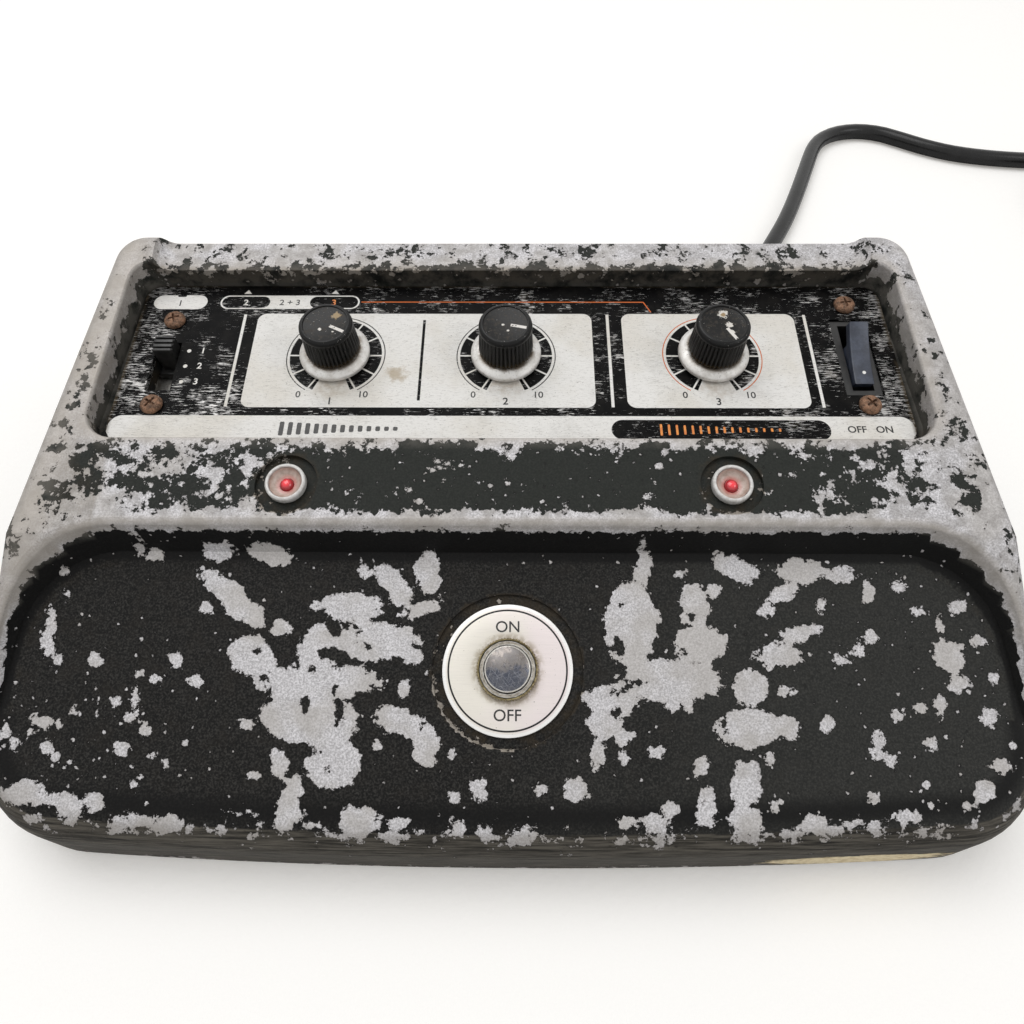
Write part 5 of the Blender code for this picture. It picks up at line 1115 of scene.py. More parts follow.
def panel_finish():
    """The printed plate: off-white fields on black, orange lines, scratches and stains."""
    finish = Finish("printed_panel_face")
    at = finish.place()
    x, y, _height = finish.in_frame(at, PANEL_FACE)
    flat = finish.combine(x, y)
    masks = {}
    for name, fields in PRINTED_FIELDS.items():
        masks[name] = reduce(finish.most, (box_mask(finish, flat, *field) for field in fields))
    down_turn = finish.ramp(abs(x - 39.0 + (y - 19.9) * 0.5), 0.25, 0.12)
    down_turn = down_turn * finish.ramp(y, 16.0, 16.2) * finish.ramp(y, 20.1, 19.9)
    orange = finish.most(masks["orange"], down_turn)
    white = masks["white"]
    dark = masks["dark"]
    for name, centre_x, _pointer in DIALS:
        ring, scale = dial_masks(finish, flat, centre_x / MM)
        dark = finish.most(dark, scale)
        if name == "right":
            orange = finish.most(orange, ring)
        else:
            dark = finish.most(dark, ring)
    for arrow_x in (-78.1, -52.1):
        arrow = finish.ramp(abs(x - arrow_x) - (24.6 - y) * 0.75, 0.05, -0.05) * finish.ramp(y, 23.0, 23.15)
        white = finish.most(white, arrow * finish.ramp(y, 24.7, 24.5))
    white = white * (1 - dark)

    scratch = finish.streaks(at, (2.6, 0.28, 0.28), 5.0, 0.7)
    where = finish.noise(at, 9.0, 4.0, 0.65)
    long_scratch = finish.streaks(at, (9.0, 0.16, 0.16), 3.0, 0.6)
    low_left = finish.ramp(x, -40.0, -90.0) * finish.ramp(y, 2.0, -18.0)
    rubbed = finish.most(low_left, finish.ramp(abs(x), 84.0, 106.0)) * 0.09 + where
    worn = finish.ramp(scratch + rubbed * 0.62, 0.925, 0.955)
    worn = finish.most(worn, finish.ramp(long_scratch + rubbed * 0.35, 0.87, 0.90) * 0.7)
    worn = finish.most(worn, finish.ramp(finish.noise(at, 0.7, 3.0, 0.7) + where * 0.4, 0.93, 0.96))
    at_rim = finish.ramp(abs(y + 29.0), 0.8, 0.2)
    worn = finish.most(worn, at_rim * finish.ramp(where, 0.40, 0.5))
    black = finish.mix(finish.patches(at, 3.0, 4.0, 0.6, 0.4, 0.7), (0.0012, 0.0012, 0.0013),
                       (0.0065, 0.0060, 0.0055))
    black = finish.mix(worn, black, (0.50, 0.49, 0.48))
    black = finish.mix(finish.ramp(where, 0.60, 0.74) * 0.3, black, (0.075, 0.055, 0.028))

    brushed = finish.streaks(at, (1.3, 0.22, 0.22), 4.0, 0.7)
    cloud = finish.noise(at, 22.0, 4.0, 0.55)
    cream = finish.mix(finish.ramp(cloud, 0.42, 0.66), (0.80, 0.785, 0.755), (0.73, 0.70, 0.645))
    cream = finish.mix(finish.ramp(brushed, 0.52, 0.70) * 0.6, cream, (0.36, 0.34, 0.31))
    cream = finish.mix(finish.patches(at, 0.55, 3.0, 0.7, 0.62, 0.72) * 0.6, cream, (0.12, 0.10, 0.08))
    from_stain = finish.distance(flat, (-31.5, -6.5, 0.0)) + finish.noise(at, 2.2, 5.0, 0.7) * 12.0
    stain = finish.ramp(from_stain, 10.0, 6.5)
    cream = finish.mix(stain * 0.6, cream, (0.33, 0.235, 0.115))
    under = reduce(finish.most, (finish.ramp(finish.distance(flat, (centre_x / MM, -10.5, 0.0)), 6.5, 2.0)
                                 for _name, centre_x, _pointer in DIALS))
    cream = finish.mix(under * finish.patches(at, 2.5, 4.0, 0.6, 0.35, 0.65) * 0.5, cream, (0.42, 0.34, 0.25))
    missing = finish.ramp(finish.noise(at, 1.1, 4.0, 0.7) + where * 0.3, 0.86, 0.90)
    cream = finish.mix(missing * 0.8, cream, (0.16, 0.145, 0.125))

    colour = finish.mix(white, black, cream)
    colour = finish.mix(orange * (1 - finish.ramp(scratch, 0.66, 0.72)), colour, (0.62, 0.155, 0.045))
    edge = finish.ramp(finish.most(abs(x) - 107.2, abs(y + 1.4) - 26.9), -0.3, 0.9)
    colour = finish.mix(edge * finish.ramp(where, 0.35, 0.6) * 0.8, colour, (0.075, 0.058, 0.036))
    height_map = 0.5 + white * 0.25 - worn * 0.5
    normal = finish.bump(height_map, 0.05, finish.bump(finish.streaks(at, (3.0, 0.3, 0.3), 4.0, 0.6), 0.045))
    roughness = 0.36 + white * 0.12 + finish.noise(at, 4.0, 4.0, 0.6) * 0.22 - worn * 0.06
    return finish.done(colour, roughness, worn * (1 - white) * 0.6, normal, specular=0.06)


def plain_finish(name, dark, light, roughness, metallic=0.0, size=2.0, depth=0.03, coat=0.0, specular=0.5):
    """A finish whose colour and gloss drift between two close tones."""
    finish = Finish(name)
    at = finish.place()
    drift = finish.noise(at, size, 5.0, 0.6)
    fine = finish.noise(at, size * 0.18, 3.0, 0.6)
    colour = finish.mix(finish.ramp(drift, 0.35, 0.68), dark, light)
    gloss = roughness - 0.08 + fine * 0.16
    return finish.done(colour, gloss, metallic, finish.bump(fine, depth), coat, 0.15, specular)


def rust_finish():
    """Rusty steel screws with dirt in the cross."""
    finish = Finish("rusty_screw_steel")
    at = finish.place()
    patch = finish.noise(at, 1.3, 5.0, 0.65)
    fine = finish.noise(at, 0.3, 4.0, 0.7)
    colour = finish.mix(finish.ramp(patch, 0.36, 0.62), (0.075, 0.040, 0.024), (0.27, 0.145, 0.085))
    colour = finish.mix(finish.ramp(fine, 0.50, 0.68) * 0.6, colour, (0.42, 0.29, 0.20))
    colour = finish.mix(finish.patches(at, 0.8, 4.0, 0.7, 0.60, 0.68), colour, (0.03, 0.02, 0.014))
    normal = finish.bump(fine, 0.14, finish.bump(patch, 0.2))
    return finish.done(colour, 0.62 + fine * 0.2, 0.35, normal)


def knob_finish(name, centre_x, pointer, spots):
    """Glossy black cap with dust, a white pointer line and spots of old paint on its top."""
    finish = Finish(f"knob_black_{name}")
    at = finish.place()
    x, y, height = finish.in_frame(at, tilted(DIAL_ROW_Y, DIAL_ROW_Z, PANEL_TILT))
    flat = finish.combine(x - centre_x / MM, y)
    turn = math.radians(pointer)
    outward = (math.sin(turn), math.cos(turn), 0.0)
    aside = (math.cos(turn), -math.sin(turn), 0.0)
    out = finish.vector("DOT_PRODUCT", flat, outward, "Value")
    off = finish.vector("DOT_PRODUCT", flat, aside, "Value")
    reach = finish.length(flat)
    top = finish.ramp(height, 12.6, 12.9)
    line = finish.ramp(abs(off), 0.50, 0.40) * finish.ramp(abs(out - 3.6), 2.2, 2.1) * top
    ragged = finish.noise(at, 0.9, 4.0, 0.7)
    line = line * finish.ramp(ragged, 0.36, 0.42)
    dust = finish.patches(at, 1.2, 5.0, 0.7, 0.48, 0.72) * finish.ramp(reach, 6.2, 5.6) * top
    colour = finish.mix(dust * 0.7, (0.0032, 0.0031, 0.0031), (0.060, 0.048, 0.035))
    flecks = finish.patches(at, 0.45, 3.0, 0.6, 0.68, 0.73) * top
    colour = finish.mix(flecks, colour, (0.62, 0.60, 0.56))
    side_dust = finish.patches(at, 2.0, 4.0, 0.6, 0.5, 0.8) * finish.ramp(height, 11.0, 4.0)
    colour = finish.mix(side_dust * 0.45, colour, (0.060, 0.043, 0.026))
    colour = finish.mix(finish.ramp(height, 4.9, 3.4) * 0.7, colour, (0.10, 0.068, 0.032))
    for spot_x, spot_y, size, tone in spots:
        away = finish.distance(flat, (spot_x, spot_y, 0.0))
        spot = finish.ramp(away + (ragged - 0.5) * size * 2.4, size, size * 0.75) * top
        colour = finish.mix(spot, colour, tone)
    colour = finish.mix(line, colour, (0.72, 0.69, 0.65))
    roughness = 0.24 + dust * 0.35 + side_dust * 0.2 + finish.noise(at, 3.0, 4.0, 0.6) * 0.12
    return finish.done(colour, roughness, 0.0, finish.bump(ragged, 0.03), specular=0.22)


def skirt_finish():
    """Pale anodised aluminium, stained and pitted."""
    finish = Finish("stained_aluminium")
    at = finish.place()
    cloud = finish.noise(at, 4.0, 5.0, 0.6)
    pits = finish.noise(at, 0.5, 4.0, 0.7)
    colour = finish.mix(finish.ramp(cloud, 0.38, 0.66), (0.78, 0.765, 0.74), (0.60, 0.575, 0.54))
    colour = finish.mix(finish.ramp(pits, 0.60, 0.72) * 0.8, colour, (0.11, 0.095, 0.08))
    x, y, _height = finish.in_frame(at, PANEL_FACE)
    reach = reduce(finish.least, (finish.length(finish.combine(x - centre_x / MM, y))
                                  for _name, centre_x, _pointer in DIALS))
    grime = finish.ramp(reach, 8.7, 7.4) * finish.ramp(cloud, 0.30, 0.55)
    colour = finish.mix(grime * 0.85, colour, (0.105, 0.070, 0.036))
    return finish.done(colour, 0.34 + pits * 0.2, 0.35, finish.bump(pits, 0.05), specular=0.3)


def disc_finish():
    """Satin footswitch plate with a printed ring, small pits and a rosy sheen in places."""
    finish = Finish("satin_plate")
    at = finish.place()
    x, y, _height = finish.in_frame(at, TREAD_FACE)
    reach = finish.length(finish.combine(x, y))
    cloud = finish.noise(at, 9.0, 3.0, 0.5)
    pits = finish.noise(at, 0.42, 2.0, 0.6)
    # Painted sheen: a rosy tint over the plate's right side, with a cloudy border.
    painted_rosy_sheen = finish.ramp(x + (cloud - 0.5) * 30.0, -9.0, 10.0)
    colour = finish.mix(painted_rosy_sheen, (0.76, 0.725, 0.655), (0.775, 0.70, 0.69))
    colour = finish.mix(finish.ramp(reach, 14.9, 15.4), colour, (0.86, 0.85, 0.83))
    brushed = finish.ramp(finish.streaks(at, (6.0, 0.2, 0.2), 3.0, 0.6), 0.45, 0.7)
    colour = finish.mix(brushed * 0.12, colour, (0.4, 0.38, 0.36))
    colour = finish.mix(finish.ramp(pits, 0.715, 0.735) * 0.8, colour, (0.06, 0.05, 0.04))
    near_nut = finish.ramp(reach, 9.6, 7.9) * finish.patches(at, 1.5, 4.0, 0.6, 0.35, 0.6)
    colour = finish.mix(near_nut * 0.55, colour, (0.30, 0.235, 0.13))
    ring = finish.ramp(abs(reach - 14.5), 0.26, 0.17)
    colour = finish.mix(ring, colour, (0.008, 0.008, 0.009))
    roughness = 0.36 + finish.noise(at, 2.0, 3.0, 0.5) * 0.08
    return finish.done(colour, roughness, (1 - ring) * 0.35, finish.bump(pits, 0.02), specular=0.25)


def chrome_finish():
    """Chrome that shoes have scratched in all directions."""
    finish = Finish("scratched_chrome")
    at = finish.place()
    x, y, _height = finish.in_frame(at, TREAD_FACE)
    marks = None
    for turn, length in ((20.0, 5.0), (75.0, 4.0), (130.0, 6.0)):
        angle = math.radians(turn)
        along = x * math.cos(angle) + y * math.sin(angle)
        across = y * math.cos(angle) - x * math.sin(angle)
        scratch = finish.noise(finish.combine(along / length, across / 0.12), 1.0, 2.0, 0.5)
        mark = finish.ramp(scratch, 0.60, 0.68)
        marks = mark if marks is None else finish.most(marks, mark)
    cloud = finish.patches(at, 2.0, 5.0, 0.65, 0.35, 0.65)
    # Painted reflection: the chrome's colour is dark and bluish at the front, warmer at the back.
    dark_front_reflection = finish.ramp(y + (cloud - 0.5) * 3.0, 1.5, -1.5)
    reach = finish.length(finish.combine(x, y))
    colour = finish.mix(dark_front_reflection, (0.20, 0.18, 0.165), (0.075, 0.082, 0.105))
    colour = finish.mix(cloud * 0.5, colour, (0.13, 0.13, 0.14))
    colour = finish.mix(marks * (0.25 + dark_front_reflection * 0.35), colour, (0.42, 0.42, 0.44))
    colour = finish.mix(finish.ramp(reach, 5.15, 5.35), colour, (0.62, 0.60, 0.56))
    return finish.done(colour, 0.20 + cloud * 0.16 + marks * 0.2, 1.0, finish.bump(marks, 0.02))


def label_finish():
    """Paper left of a torn label."""
    finish = Finish("torn_label_paper")
    at = finish.place()
    x, _y, z = finish.parts(at)
    away = finish.length(finish.combine((x - 85.0) / 24.0, (z - 9.0) / 5.2))
    torn = away + (finish.streaks(at, (5.0, 5.0, 0.7), 6.0, 0.7) - 0.5) * 1.3
    tone = finish.noise(at, 1.6, 5.0, 0.7)
    colour = finish.mix(finish.ramp(tone, 0.38, 0.66), (0.86, 0.74, 0.50), (0.64, 0.51, 0.30))
    finish.feed(finish.shader.inputs["Alpha"], finish.ramp(torn, 0.95, 0.85))
    return finish.done(colour, 0.85, 0.0, finish.bump(tone, 0.1))


def label_piece():
    """A thin skin of paper on the front face, low at the right."""
    skin = bmesh.new()
    columns, rows = 60, 6
    low, high = 4.4 * MM, 15.4 * MM
    left, right = 56.0 * MM, 112.0 * MM
    front = FRONT_Y + 3 * FRONT_CORNER_RADIUS / 2
    outline = sorted((point for point in case_outline() if point[1] < front and point[0] > 0),
                     key=lambda point: point[0])
    along, depths = zip(*outline)
    spots = []
    for row in range(rows + 1):
        z = low + (high - low) * row / rows
        line = []
        for column in range(columns + 1):
            x = left + (right - left) * column / columns
            y = np.interp(x, along, depths)
            line.append(skin.verts.new((x, y - 0.06 * MM, z)))
        spots.append(line)
    for lower, upper in zip(spots, spots[1:]):
        for index in range(columns):
            skin.faces.new((lower[index], lower[index + 1], upper[index + 1], upper[index]))
    return piece("torn_label", skin, None, label_finish())


def words(name, text, size, matrix, finish, bold=0.0):
    """Plain numbers or marks as a thin printed layer, centred on a place."""
    curve = bpy.data.curves.new(name, "FONT")
    curve.body = text
    curve.size = size
    curve.align_x = "CENTER"
    curve.align_y = "CENTER"
    curve.extrude = 0.012 * MM
    curve.offset = bold * MM
    curve.resolution_u = 6
    item = bpy.data.objects.new(name, curve)
    bpy.context.scene.collection.objects.link(item)
    bpy.context.view_layer.update()
    mesh = bpy.data.meshes.new_from_object(item.evaluated_get(bpy.context.evaluated_depsgraph_get()))
    bpy.data.objects.remove(item, do_unlink=True)
    mesh.transform(matrix)
    mesh.materials.clear()
    mesh.materials.append(finish)
    printed = bpy.data.objects.new(name, mesh)
    bpy.context.scene.collection.objects.link(printed)
    return settle(printed, "case")


def build_prints(_sizes):
    """Numbers at the dials, switches and sockets, and plain bars where a name would be."""
    ink = plain_finish("dark_print_ink", (0.006, 0.006, 0.006), (0.030, 0.028, 0.026), 0.45, size=1.0)
    pale = plain_finish("pale_print_ink", (0.78, 0.76, 0.72), (0.55, 0.53, 0.49), 0.5, size=1.0)
    amber = plain_finish("orange_print_ink", (0.80, 0.30, 0.045), (0.62, 0.16, 0.03), 0.45, size=1.2)

    def panel(x, y):
        return on_face(PANEL_FACE, x * MM, y * MM, PRINT_LIFT)

    for number, (name, centre_x, _pointer) in enumerate(DIALS, 1):
        x = centre_x / MM
        words(f"print_dial_low_{name}", "0", 2.9 * MM, panel(x - 8.9, -13.5), ink, 0.04)
        words(f"print_dial_high_{name}", "10", 2.9 * MM, panel(x + 8.9, -13.5), ink, 0.04)
        words(f"print_dial_number_{name}", str(number), 3.2 * MM, panel(x, -15.7), ink, 0.05)
    for number, y in ((1, 1.6), (2, -3.8), (3, -9.2)):
        words(f"print_level_{number}", str(number), 2.9 * MM, panel(-87.2, y), pale, 0.05)
    words("print_socket_1", "1", 3.0 * MM, panel(-97.5, 19.3), ink, 0.04)
    words("print_socket_2", "2", 3.0 * MM, panel(-78.1, 19.6), pale, 0.05)
    words("print_socket_2_3", "2 + 3", 2.9 * MM, panel(-65.1, 19.6), ink, 0.03)
    words("print_socket_3", "3", 3.0 * MM, panel(-52.1, 19.6), amber, 0.05)
    words("print_power", "OFF   ON", 2.9 * MM, panel(96.0, -24.6), ink, 0.05)
    tread = on_face(TREAD_FACE, 0.0, 10.3 * MM, DISC_PRINT_LIFT)
    words("print_footswitch_on", "ON", 3.9 * MM, tread, ink, 0.03)
    tread = on_face(TREAD_FACE, 0.0, -10.9 * MM, DISC_PRINT_LIFT)
    words("print_footswitch_off", "OFF", 3.9 * MM, tread, ink, 0.03)
    build_bars("print_fading_bars", (-61.0, -24.6), 14, 2.35, 4.4, 1.25, ink)
    build_bars("print_orange_bars", (40.5, -24.75), 16, 2.1, 3.6, 0.62, amber)


def build_bars(name, start, count, pitch, tallest, width, finish):
    """A row of upright bars that fade out to the right, as an echo does."""
    bars = bmesh.new()
    for index in range(count):
        share = index / (count - 1)
        tall = tallest * (0.28 + 0.72 * (1 - share) ** 1.3)
        corners = [(-width / 2, -tall / 2), (width / 2, -tall / 2), (width / 2, tall / 2),
                   (-width / 2, tall / 2)]
        outline = rounded(corners, [width * 0.3] * 4, 4)
        x = start[0] + index * pitch
        low = [bars.verts.new(((x + px) * MM, (start[1] + py) * MM, -0.01 * MM)) for px, py in outline]
        high = [bars.verts.new(((x + px) * MM, (start[1] + py) * MM, 0.02 * MM)) for px, py in outline]
        bars.faces.new(list(reversed(low)))
        bars.faces.new(high)
        for turn in range(len(low)):
            following = (turn + 1) % len(low)
            bars.faces.new((low[turn], low[following], high[following], high[turn]))
    return piece(name, bars, on_face(PANEL_FACE), finish)


def build_dials(sizes):
    """Cap, pointer and skirt of each dial."""
    tan, pale = (0.33, 0.24, 0.13), (0.66, 0.63, 0.58)
    spots = {"left": ((2.6, 2.9, 1.25, tan), (-1.3, -1.9, 0.5, pale), (2.3, -2.6, 0.35, pale)),
             "middle": ((-0.6, -0.2, 0.4, pale), (0.8, -2.2, 0.4, pale)),
             "right": ((0.2, 3.5, 1.5, pale), (0.3, 3.2, 0.75, tan), (1.4, -0.2, 0.9, pale),
                       (1.9, -2.6, 0.8, pale))}
    metal = skirt_finish()
    for name, centre_x, pointer in DIALS:
        at = on_face(PANEL_FACE, centre_x)
        skirt = [(6.8, 0.8), (9.8, 0.8), (9.8, 2.0), (9.3, 2.5), (7.9, 3.2), (6.8, 3.2)]
        profile = softened(sized(skirt), 0.35 * MM)
        piece(f"dial_skirt_{name}", turned(profile, 128, True), at, metal, f"dial_{name}",
              [f"knob_skirt_{name}"])
        cap = carve(lump(f"dial_cap_{name}", cap_shape(sizes.flute_count), at),
                    [("DIFFERENCE", hole(4.8 * MM, 0.0, 5.3 * MM, at)),
                     ("DIFFERENCE", hole(3.3 * MM, 0.0, 10.8 * MM, at))])
        dress(cap, knob_finish(name, centre_x, pointer, spots[name]), CAP_SHARP_ANGLE)
        settle(cap, f"dial_{name}", [f"knob_cap_{name}"])


def cap_shape(flutes):
    """A tapered, fluted cap with a plain band and a sunk face on top."""
    rows = ((7.2, 3.5, 0.25), (7.55, 3.9, 0.5), (7.15, 11.2, 0.5), (7.1, 11.5, 0.25), (7.05, 11.6, 0.0),
            (7.2, 11.8, 0.0), (7.25, 12.2, 0.0), (7.1, 12.9, 0.0), (6.7, 13.35, 0.0), (6.3, 13.5, 0.0),
            (6.1, 13.5, 0.0), (6.0, 13.42, 0.0), (5.95, 13.15, 0.0), (5.8, 13.1, 0.0))
    return grooved(rows, flutes, 6, 1.5)


def screw_shape(radius, length, head_radius, head_height):
    """A pan head with a soft rim on its shank, head up."""
    profile = [(radius, -length), (radius, 0.0), (head_radius * 0.97, 0.0), (head_radius, head_height * 0.2),
               (head_radius * 0.97, head_height * 0.45), (head_radius * 0.86, head_height * 0.74),
               (head_radius * 0.66, head_height * 0.92), (head_radius * 0.35, head_height)]
    return turned(profile, 48)


def build_screws(_sizes):
    """Rusty cross-head screws on the panel and under the feet."""
    rust = rust_finish()
    flip = Matrix.Rotation(math.pi, 4, "X")
    rows = []
    for name, x, y, turn in PANEL_SCREWS:
        at = on_face(PANEL_FACE, x, y, GAP) @ Matrix.Rotation(math.radians(turn), 4, "Z")
        rows.append((f"panel_screw_{name}", at, PANEL_SCREW_SIZE))
    for name, x, y in foot_places():
        rows.append((f"foot_screw_{name}", Matrix.Translation((x, y, 1.9 * MM)) @ flip, FOOT_SCREW_SIZE))
    for name, at, size in rows:
        radius, length, head_radius, head_height = [value * MM for value in size]
        arm = (head_radius * 1.1, 0.65 * MM, head_height * 1.2)
        on_head = Matrix.Translation((0.0, 0.0, head_height))
        arms = [lump("arm", soft_box(arm, 0.1 * MM, on_head @ Matrix.Rotation(turn, 4, "Z")), at)
                for turn in (0.0, math.pi / 2)]
        screw = carve(lump(f"{name}_rusty", screw_shape(radius, length, head_radius, head_height), at),
                      [("DIFFERENCE", arm) for arm in arms])
        settle(dress(screw, rust), "case", [name])


def build_switches(_sizes):
    """Level slider and power paddle."""
    black = plain_finish("switch_black", (0.007, 0.007, 0.007), (0.020, 0.019, 0.018), 0.38, size=1.5)
    foot_top = -PANEL_THICKNESS - GAP - CASE_ROOF - 2 * GAP
    at = on_face(PANEL_FACE, LEVEL_X, LEVEL_Y + LEVEL_STEP)
    stem_low = foot_top - 1.0 * MM
    stem_high = 3.4 * MM
    shape = soft_box((5.4 * MM, 5.2 * MM, stem_high - stem_low), 0.35 * MM,
                     Matrix.Translation((0.0, 0.0, (stem_high + stem_low) / 2)))
    steps = [("UNION", lump("slider_foot", soft_box((8.4 * MM, 8.2 * MM, 2.0 * MM), 0.2 * MM,
                                                   Matrix.Translation((0.0, 0.0, foot_top - 1.0 * MM))), at))]
    for index in range(3):
        groove = soft_box((9.0 * MM, 0.8 * MM, 1.5 * MM), 0.2 * MM,
                          Matrix.Translation((0.0, (index - 1) * 1.6 * MM, stem_high)))
        steps.append(("DIFFERENCE", lump("groove", groove, at)))
    slider = carve(lump("level_slider_ribbed", shape, at), steps)
    settle(dress(slider, black), "level_slider", ["level_switch_slider"])
    at = on_face(PANEL_FACE, POWER_X, 0.4 * MM, -3.0 * MM) @ Matrix.Rotation(math.radians(15.2), 4, "X")
    piece("power_paddle", paddle_shape(), at, paddle_finish(), "rocker", ["power_rocker"])


def paddle_shape():
    """The dished paddle on its hub, with rounded edges."""
    half, high, dish, thick, hub, width = 9.2, 6.5, 0.9, 2.4, 3.6, 5.3
    top = []
    count = 24
    for index in range(count + 1):
        share = 1 - 2 * index / count
        top.append((half * share, high - dish * (1 - share * share)))
    under = high - thick
    outline = top + [(-half, under), (-hub, under - dish)]
    for index in range(19):
        angle = math.pi + math.pi * index / 18
        outline.append((hub * math.cos(angle), hub * math.sin(angle)))
    outline += [(hub, under - dish), (half, under)]
    shape = rings([[(side * width / 2 * MM, y * MM, z * MM) for y, z in outline] for side in (-1, 1)])
    rims = [edge for edge in shape.edges if abs(edge.verts[0].co.x - edge.verts[1].co.x) < MM / 100]
    bmesh.ops.recalc_face_normals(shape, faces=shape.faces)
    bmesh.ops.bevel(shape, geom=rims, offset=0.3 * MM, segments=3, profile=0.5, affect="EDGES")
    return shape


def paddle_finish():
    """Dark blue grey plastic, worn satin, with one white dot near its front end."""
    finish = Finish("paddle_blue_grey")
    at = finish.place()
    x, y, _height = finish.in_frame(at, PANEL_FACE)
    fine = finish.noise(at, 0.6, 4.0, 0.65)
    cloud = finish.noise(at, 4.0, 4.0, 0.6)
    colour = finish.mix(finish.ramp(cloud, 0.38, 0.66), (0.020, 0.025, 0.040), (0.048, 0.058, 0.085))
    colour = finish.mix(finish.ramp(fine, 0.60, 0.75) * 0.4, colour, (0.13, 0.14, 0.16))
    flat = finish.combine(x - POWER_X / MM, y)
    dot = finish.ramp(finish.distance(flat, (0.3, -6.6, 0.0)), 0.55, 0.42)
    colour = finish.mix(dot, colour, (0.80, 0.79, 0.76))
    return finish.done(colour, 0.30 + fine * 0.18, 0.0, finish.bump(fine, 0.03))


def build_lamps(_sizes):
    """Milky lens rings with a red lamp in each."""
    ring_finish = plain_finish("bright_lens_ring", (0.70, 0.69, 0.67), (0.52, 0.50, 0.47), 0.3, 0.0, 1.2,
                               0.02)
    lamp = lamp_finish()
    for name, x in (("left", -LAMP_X), ("right", LAMP_X)):
        at = on_face(RIDGE_FACE, x)
        seat, top = -1.0, 1.2
        ring = [(4.15, seat), (5.1, seat), (5.1, top - 0.35), (4.75, top), (4.35, top), (4.15, top - 0.25)]
        profile = softened(sized(ring), 0.25 * MM)
        piece(f"lamp_ring_{name}", turned(profile, 96, True), at, ring_finish, "case",
              [f"indicator_bezel_{name}"])
        dish = [(1.85, -6.0), (3.6, -6.0), (3.6, seat - 0.05), (4.05, seat + 0.05), (4.05, 0.7), (3.8, 0.1),
                (3.3, -0.5), (2.6, -0.85), (1.85, -0.95)]
        piece(f"lamp_dish_{name}", turned(sized(dish), 96, True), at, dish_finish(), "case", ())
        dome = [(1.75, -6.5), (1.75, -1.0)]
        for step in range(1, 9):
            angle = math.radians(10.5 * step)
            dome.append((1.75 * math.cos(angle), -1.0 + 1.75 * math.sin(angle) * 0.75))
        piece(f"lamp_{name}", turned(sized(dome), 48), at, lamp,
              "case", [f"indicator_lamp_{name}"])


def dish_finish():
    """Milky plastic round a lamp, rosy near it and dirty in patches."""
    finish = Finish("milky_lens")
    at = finish.place()
    x, y, _height = finish.in_frame(at, RIDGE_FACE)
    flat = finish.combine(abs(x) - LAMP_X / MM, y)
    reach = finish.length(flat)
    cloud = finish.noise(at, 1.6, 4.0, 0.6)
    colour = finish.mix(finish.ramp(cloud, 0.35, 0.7), (0.56, 0.46, 0.40), (0.38, 0.29, 0.235))
    # Painted red glow of the lamp on the milky plastic near it.
    colour = finish.mix(finish.ramp(reach, 3.2, 1.7) * 0.75, colour, (0.50, 0.10, 0.08))
    return finish.done(colour, 0.22 + cloud * 0.15, 0.0, finish.bump(cloud, 0.1), coat=0.4)


def lamp_finish():
    """Red lamp plastic that looks lit from within, with a hot middle."""
    finish = Finish("red_lamp")
    at = finish.place()
    x, y, _height = finish.in_frame(at, RIDGE_FACE)
    flat = finish.combine(abs(x) - LAMP_X / MM, y)
    reach = finish.length(flat)
    colour = finish.mix(finish.ramp(reach, 1.7, 0.4), (0.30, 0.004, 0.010), (0.75, 0.022, 0.035))
    glow = finish.mix(finish.ramp(reach, 1.5, 0.0), (0.10, 0.0, 0.003), (0.8, 0.02, 0.04))
    finish.feed(finish.shader.inputs["Emission Color"], glow)
    finish.shader.inputs["Emission Strength"].default_value = 0.35
    return finish.done(colour, 0.12, 0.0, None, coat=0.6)


def build_footswitch(_sizes):
    """Disc, knurled nut and domed plunger."""
    at = on_face(TREAD_FACE)
    base, top = -0.5, 0.3
    disc = softened(sized([(7.0, base), (16.0, base), (16.0, top), (7.0, top)]), 0.18 * MM)
    piece("switch_plate", turned(disc, 160, True), at, disc_finish(), "case", ["footswitch_disc"])
    brass = plain_finish("dull_brass", (0.15, 0.115, 0.055), (0.44, 0.37, 0.20), 0.34, 0.85, 0.9, 0.05)
    piece("switch_ring_nut", nut_shape(), at, brass, "case", ["footswitch_nut"])
    steel = plain_finish("bush_steel", (0.20, 0.18, 0.15), (0.42, 0.39, 0.34), 0.35, 0.9, 1.0, 0.04)
    bush = [(5.95, -1.0), (6.75, -1.0), (6.75, 2.0), (6.6, 2.2), (6.05, 2.2), (5.95, 2.1)]
    piece("switch_bush", turned(sized(bush), 96, True), at, steel, "case", ())
    profile = [(5.6, -4.5), (5.6, 3.2), (5.52, 3.5), (5.3, 3.68)]
    for step in range(1, 7):
        share = step / 6
        profile.append((5.3 * (1 - share) + 0.25, 3.68 + 0.72 * (1 - (1 - share) ** 2)))
    piece("switch_plunger", turned(sized(profile), 96), at, chrome_finish(), "plunger",
          ["footswitch_plunger"])


def nut_shape():
    """A ring nut: a knurled foot and a rounded upper lip."""
    rows = ((6.95, 0.65, 0.0), (7.6, 0.65, 0.3), (7.7, 0.8, 0.4), (7.7, 1.9, 0.4), (7.5, 2.3, 0.3),
            (7.35, 2.45, 0.0), (7.25, 2.85, 0.0), (7.1, 2.98, 0.0), (6.95, 2.85, 0.0))
    return grooved(rows, 64, 4, close=True)


